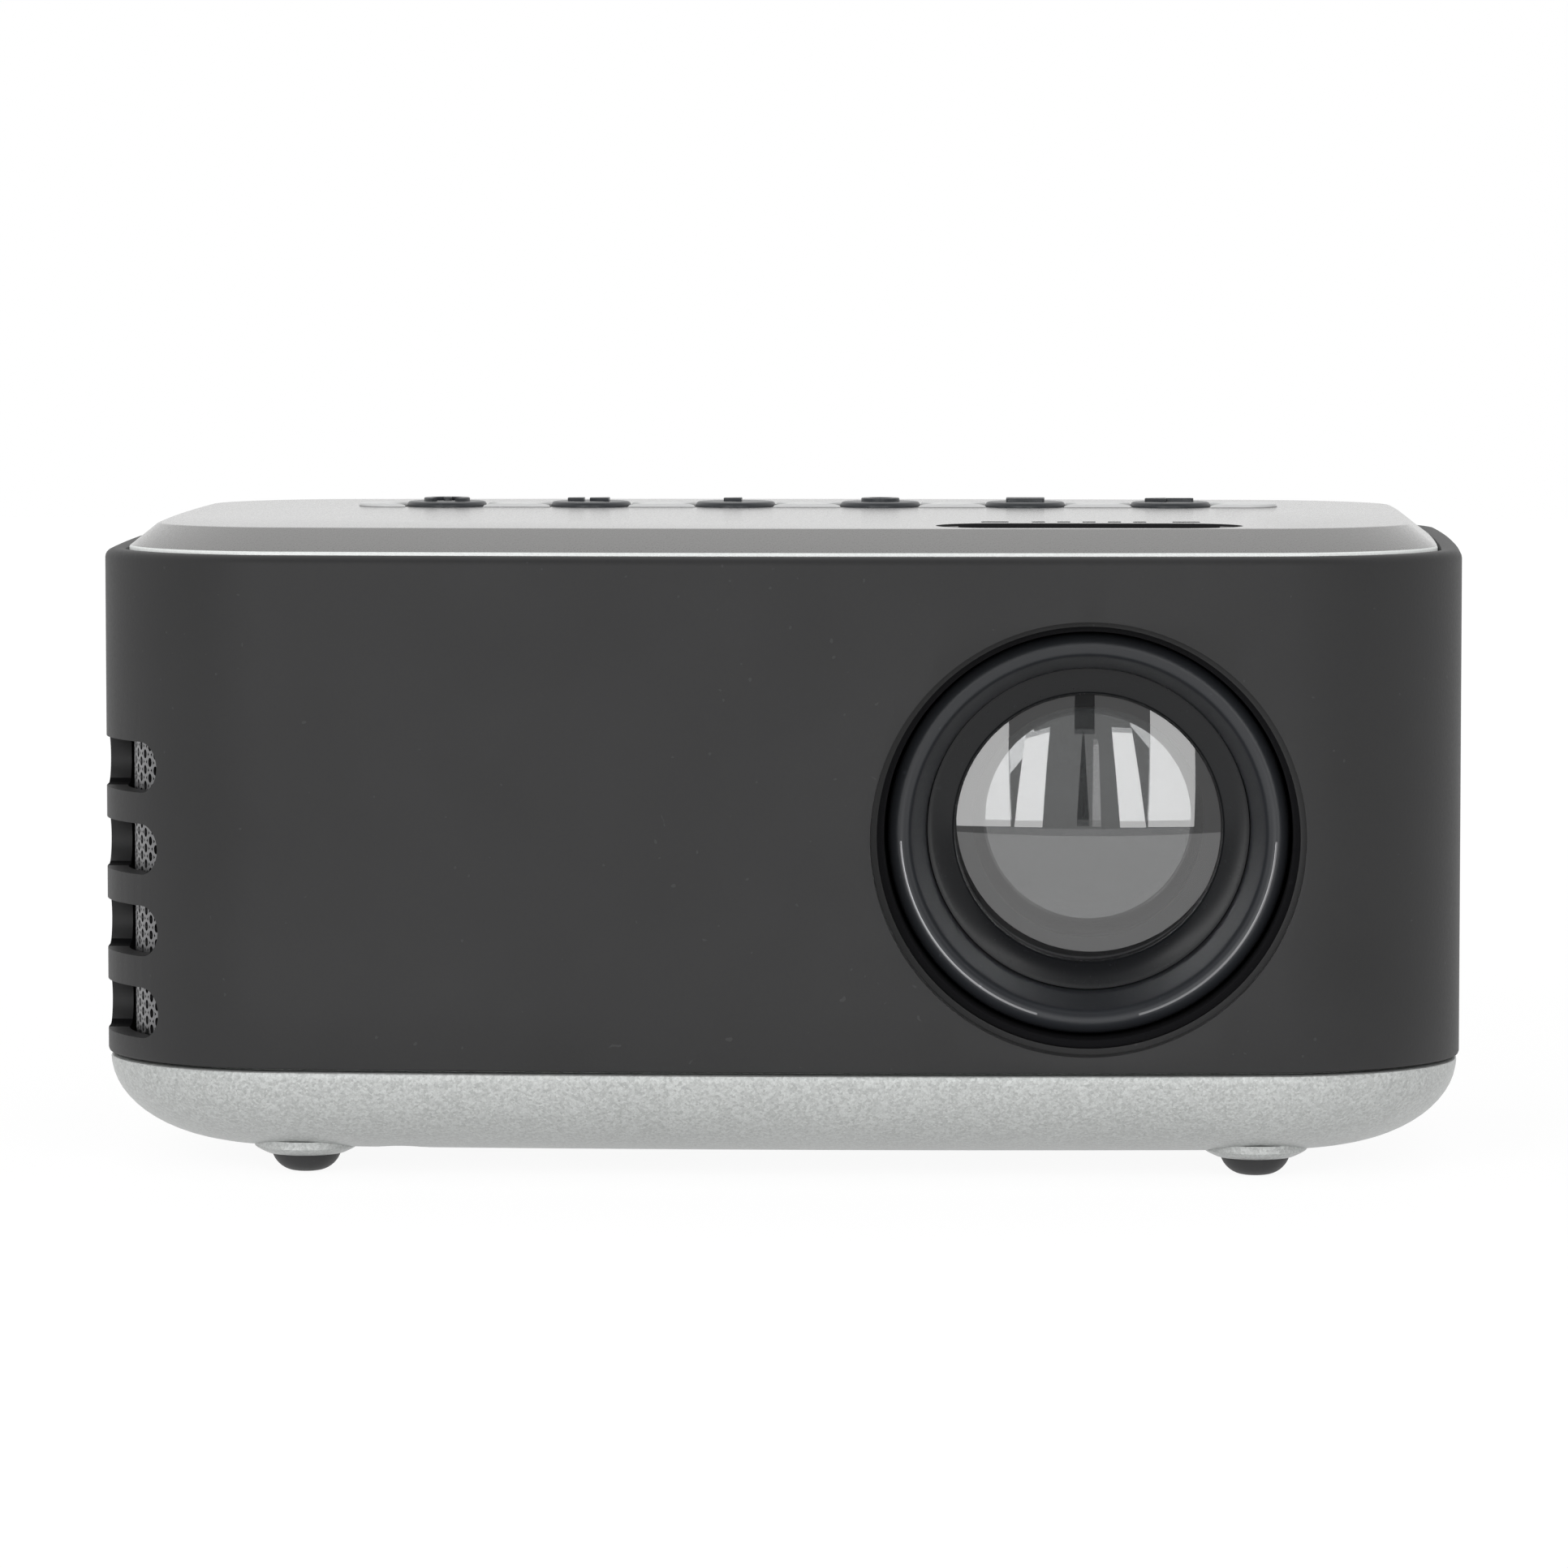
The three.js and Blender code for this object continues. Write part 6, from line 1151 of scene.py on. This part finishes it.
class PROJECTOR_OT_small_parts(bpy.types.Operator):
    """Builds the feet, screws and tripod insert"""
    bl_idname = "projector.small_parts"
    bl_label = "Feet and Fasteners"

    def execute(self, context):
        settings = context.scene.projector
        rubber = moulded("foot_rubber", settings.colours.rubber, 0.55, spread=0.3)
        for name, side, end in (("front_left", -1, -1), ("front_right", 1, -1), ("rear_left", -1, 1),
                                ("rear_right", 1, 1)):
            self.foot(settings.tray, name, side, end, rubber)
        steel = metal("screw_steel", (0.45, 0.45, 0.46), 0.3)
        for k in range(1, 5):
            self.screw(k, steel)
        self.insert(metal("insert_brass", (0.62, 0.45, 0.16), 0.28))
        return {"FINISHED"}

    def foot(self, tray, name, side, end, rubber):
        """A domed rubber foot on a stem."""
        top = tray.underside - tray.boss_drop - 0.04 * MM
        dome = []
        for k in range(11):
            angle = QUARTER - (QUARTER - FOOT_LEAN) * k / 10
            dome.append((FOOT_FLAT + (tray.foot_radius - FOOT_FLAT) * math.cos(angle) / math.cos(FOOT_LEAN),
                         top * (1 - math.sin(angle)) / (1 - math.sin(FOOT_LEAN))))
        profile = [(0, 0), *dome, (FOOT_STEM_RADIUS, top), (FOOT_STEM_RADIUS, FOOT_STEM_TOP),
                   (0, FOOT_STEM_TOP)]
        foot = turned(profile, (side * tray.foot_x, end * tray.foot_y, 0), UP, "pad_" + name, rubber, 64)
        dress(foot, CASE, "rubber", "foot_" + name)

    def screw(self, k, steel):
        """A case screw with a cross in its head."""
        node = "case_screw_%d" % k
        low, high = (corner.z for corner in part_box(node))
        x, y, _ = box_middle(node)
        head = low + SCREW_HEAD
        profile = [(0, low), (SCREW_FLAT_RADIUS, low), (SCREW_HEAD_RADIUS, low + SCREW_DOME),
                   (SCREW_HEAD_RADIUS, head), (SCREW_SHANK_RADIUS, head),
                   (SCREW_SHANK_RADIUS, high - SCREW_TIP), (0, high)]
        body = turned(profile, (x, y, 0), UP, "screw_%d" % k, steel, 48)
        carve(body, *[slab(width * MM, depth * MM, 0.1 * MM, low - MM, low + SCREW_DRIVE, "arm", (x, y))
                      for width, depth in ((2.8, 0.6), (0.6, 2.8))])
        dress(body, CASE, "steel", node)

    def insert(self, brass):
        """The threaded insert for a camera stand."""
        low, high = (corner.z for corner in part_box("tripod_insert"))
        x, y, _ = box_middle("tripod_insert")
        pitch = (high - low - 2 * THREAD_MARGIN) / THREAD_TURNS
        thread = []
        for k in range(THREAD_TURNS):
            start = high - THREAD_MARGIN - k * pitch
            thread += [(THREAD_ROOT, start), (THREAD_CREST, start - pitch / 2)]
        profile = [(INSERT_BORE, low), (INSERT_OUTER - 0.1 * MM, low), (INSERT_OUTER, low + 0.1 * MM),
                   (INSERT_OUTER, high), (INSERT_BORE, high), *thread]
        insert = turned(profile, (x, y, 0), UP, "thread_insert", brass)
        dress(insert, CASE, "brass", "tripod_insert")


class PROJECTOR_OT_inside(bpy.types.Operator):
    """Gives every piece that stays as it is in the CAD its own finish"""
    bl_idname = "projector.inside"
    bl_label = "Inner Parts"

    def execute(self, context):
        finish_nodes(moulded("engine_plastic", (0.05, 0.05, 0.055), 0.5), "engine_case", "engine_lid")
        finish_nodes(clear("plate_glass", (0.9, 0.92, 0.93), 1.49), "rear_fresnel", "front_fresnel")
        finish_nodes(clear("condenser_glass", (0.92, 0.94, 0.95), 1.52), "condenser_lens")
        finish_nodes(moulded("panel_glass", (0.03, 0.035, 0.045), 0.12), "lcd_panel")
        finish_nodes(metal("mirror_silver", (0.86, 0.87, 0.88), 0.08), "fold_mirror")
        finish_nodes(board("lamp_board", (0.55, 0.55, 0.52)), "led_board")
        finish_nodes(metal("sink_aluminium", (0.62, 0.62, 0.63), 0.35, (1, 0.05, 1)), "heat_sink")
        finish_nodes(moulded("fan_plastic", (0.02, 0.02, 0.021), 0.4), "fan_frame", "fan_rotor")
        finish_nodes(board("green_board", (0.02, 0.11, 0.045)), "main_board", "key_board")
        finish_nodes(metal("socket_steel", (0.50, 0.50, 0.50), 0.25), "hdmi_socket", "usb_socket",
                     "wheel_clip")
        finish_nodes(moulded("jack_plastic", (0.018, 0.018, 0.019), 0.35), "audio_jack", "power_jack",
                     "speaker")
        finish_nodes(moulded("smoked_window", (0.03, 0.008, 0.012), 0.08, spread=0.1), "receiver_window")
        return {"FINISHED"}


# Studio, with places in metres

CAMERA_PLACE = Vector((29.2, -767.6, 96.06)) * MM
CAMERA_TURN = (85.53, 0.03, 2.23)                   # in degrees
CAMERA_LENS, CAMERA_SENSOR = 173, 36                # in millimetres
CAMERA_NEAR, CAMERA_FAR = 0.01, 20
SKY_LIGHT = 0.46                                    # what the world gives as light, where its picture is 1
FLOOR_WIDTH, FLOOR_DEPTH, FLOOR_FRONT = 3, 1.8, 0.328
FLOOR_GLOW, FLOOR_SHOWN = 1.06, 0.87
FLOOR_FADE = (0.25, 0.8)                            # where the shadowed part of the floor turns plain white
LAMP_AIM = Vector((0, 0, 0.03))
LAMPS = (("lamp_left", (-0.7, -1.45, 0.6), 0.9, 12.5),          # name, place, size and watts
         ("lamp_right", (0.7, -1.5, 0.6), 0.9, 9),
         ("lamp_top", (0, 0.3, 1.4), 1.2, 3))


# Name, strength and distance of each card, and its corners as (azimuth, elevation) in degrees from the lens
CARDS = (("ceiling_card", 0.08, 1.75, ((-62, 17), (62, 17), (62, 56), (-62, 56))),
         ("wall_card", 0.5, 1.72, ((-62, -22), (62, -22), (62, 17), (-62, 17))),
         ("gap_card", 0.10, 1.70, ((-2.9, 14.6), (1.4, 14.6), (1.4, 40), (-2.9, 40))),
         ("dark_card", 0.12, 1.69, ((-2.3, -4.2), (0.3, -4.2), (-0.8, 14.2), (-1.2, 14.2))),
         ("pale_card", 1.1, 1.68, ((0.9, -4.3), (2.7, -4.3), (2.2, 12.5), (1.1, 12.5))),
         ("window_1", 3.1, 1.6, ((-30, -4.4), (-15.8, -4.4), (-17.5, 28), (-30, 28))),
         ("window_2", 3.1, 1.6, ((-15.1, -4.5), (-9.3, -4.5), (-8.1, 15), (-13.2, 13.4))),
         ("window_3", 3.1, 1.6, ((6.6, -4.5), (11.9, -4.5), (9.3, 14.7), (5.0, 15))),
         ("window_4", 3.1, 1.6, ((12.3, -4.4), (21.8, -4.4), (23, 28), (13.7, 28))))


class PROJECTOR_OT_studio(bpy.types.Operator):
    """Sets up the camera, the floor, the lamps and the cards that the glass mirrors"""
    bl_idname = "projector.studio"
    bl_label = "Studio"

    def execute(self, context):
        scene = context.scene
        scene.view_settings.view_transform = "Standard"
        camera = bpy.data.objects.new("camera", bpy.data.cameras.new("camera"))
        scene.collection.objects.link(camera)
        camera.data.lens, camera.data.sensor_width = CAMERA_LENS, CAMERA_SENSOR
        camera.data.clip_start, camera.data.clip_end = CAMERA_NEAR, CAMERA_FAR
        camera.location = CAMERA_PLACE
        camera.rotation_euler = [math.radians(angle) for angle in CAMERA_TURN]
        scene.camera = camera
        self.world(scene)
        self.floor()
        for lamp in LAMPS:
            self.lamp(scene, *lamp)
        for card in CARDS:
            self.card(*card)
        return {"FINISHED"}

    def world(self, scene):
        """White to the camera, in mirrors and through glass, and dimmer as a light."""
        scene.world = bpy.data.worlds.new("studio")
        scene.world.use_nodes = True
        sky = Shading(scene.world.node_tree)
        path = sky.node("ShaderNodeLightPath")
        seen = Number(sky, path.outputs["Is Camera Ray"])
        for ray in ("Is Glossy Ray", "Is Transmission Ray"):
            seen = seen.at_least(Number(sky, path.outputs[ray]))
        background = sky.tree.nodes["Background"]
        sky.link(WHITE, background.inputs["Color"])
        sky.link(seen * (1 - SKY_LIGHT) + SKY_LIGHT, background.inputs["Strength"])

    def floor(self):
        """A pale floor that shows white to the camera and keeps a faint shadow."""
        bm = bmesh.new()
        bmesh.ops.create_grid(bm, x_segments=1, y_segments=1, size=0.5)
        bmesh.ops.scale(bm, vec=(FLOOR_WIDTH, FLOOR_DEPTH, 1), verts=bm.verts[:])
        bmesh.ops.translate(bm, vec=(0, FLOOR_DEPTH / 2 - FLOOR_FRONT, 0), verts=bm.verts[:])
        paper = Finish("floor_paper", (0.86, 0.86, 0.86), 0.8)
        glow = paper.node("ShaderNodeEmission", None, Color=WHITE, Strength=FLOOR_GLOW)
        path = paper.node("ShaderNodeLightPath")
        away = paper.node("ShaderNodeVectorMath", {"operation": "LENGTH"}, paper.place).outputs["Value"]
        fade = Number(paper, away).smooth(*FLOOR_FADE)
        seen = Number(paper, path.outputs["Is Camera Ray"]) + Number(paper, path.outputs["Is Glossy Ray"])
        mix = paper.node("ShaderNodeMixShader", None, seen * (FLOOR_SHOWN + fade * (1 - FLOOR_SHOWN)),
                         paper.shader.outputs[0], glow.outputs[0])
        to_object(bm, "floor", paper.show(mix.outputs[0]).material)

    def lamp(self, scene, name, spot, size, power):
        lamp = bpy.data.objects.new(name, bpy.data.lights.new(name, "AREA"))
        lamp.data.shape, lamp.data.size, lamp.data.energy = "SQUARE", size, power
        lamp.location = spot
        lamp.rotation_euler = (LAMP_AIM - Vector(spot)).to_track_quat("-Z", "Y").to_euler()
        lamp.visible_glossy = False
        scene.collection.objects.link(lamp)

    def card(self, name, strength, distance, corners):
        """A glowing card that only mirrored light sees."""
        bm = bmesh.new()
        bmesh.ops.create_circle(bm, cap_ends=True, segments=4, radius=1)
        for vert, corner in zip(bm.verts, corners):
            azimuth, elevation = (math.radians(angle) for angle in corner)
            vert.co = Vector((LENS_AXIS.x + distance * math.tan(azimuth), -distance,
                              LENS_AXIS.z + distance / math.cos(azimuth) * math.tan(elevation)))
        glow = Finish(name + "_glow", (0, 0, 0), 1)
        light = glow.node("ShaderNodeEmission", None, Color=WHITE, Strength=strength)
        made = to_object(bm, name, glow.show(light.outputs[0]).material)
        made.visible_camera = made.visible_diffuse = made.visible_shadow = False


class PROJECTOR_PT_panel(bpy.types.Panel):
    """Lists the projector's builders and sizes in the sidebar"""
    bl_idname = "PROJECTOR_PT_panel"
    bl_label = "Mini Projector"
    bl_space_type = "VIEW_3D"
    bl_region_type = "UI"
    bl_category = "Projector"

    def draw(self, context):
        for builder in BUILDERS:
            self.layout.operator(builder.bl_idname)
        for group in ("case", "tray", "vents", "keys", "slot", "colours"):
            box = self.layout.box()
            box.label(text=group.capitalize())
            values = getattr(context.scene.projector, group)
            for name in values.bl_rna.properties.keys():
                if name not in ("rna_type", "name"):
                    box.prop(values, name)


BUILDERS = (PROJECTOR_OT_studio, PROJECTOR_OT_band, PROJECTOR_OT_tray, PROJECTOR_OT_cover,
            PROJECTOR_OT_meshes, PROJECTOR_OT_keys, PROJECTOR_OT_lens, PROJECTOR_OT_focus_wheel,
            PROJECTOR_OT_small_parts, PROJECTOR_OT_inside)


CLASSES = (CaseSizes, TraySizes, VentSizes, KeySizes, SlotSizes, Colours, ProjectorSettings, *BUILDERS,
           PROJECTOR_PT_panel)


def register():
    for kind in CLASSES:
        bpy.utils.register_class(kind)
    bpy.types.Scene.projector = bpy.props.PointerProperty(type=ProjectorSettings)


def unregister():
    del bpy.types.Scene.projector
    for kind in reversed(CLASSES):
        bpy.utils.unregister_class(kind)


def main():
    """Registers the add-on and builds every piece."""
    register()
    for builder in BUILDERS:
        group, name = builder.bl_idname.split(".")
        getattr(getattr(bpy.ops, group), name)()


if __name__ == "__main__":
    main()
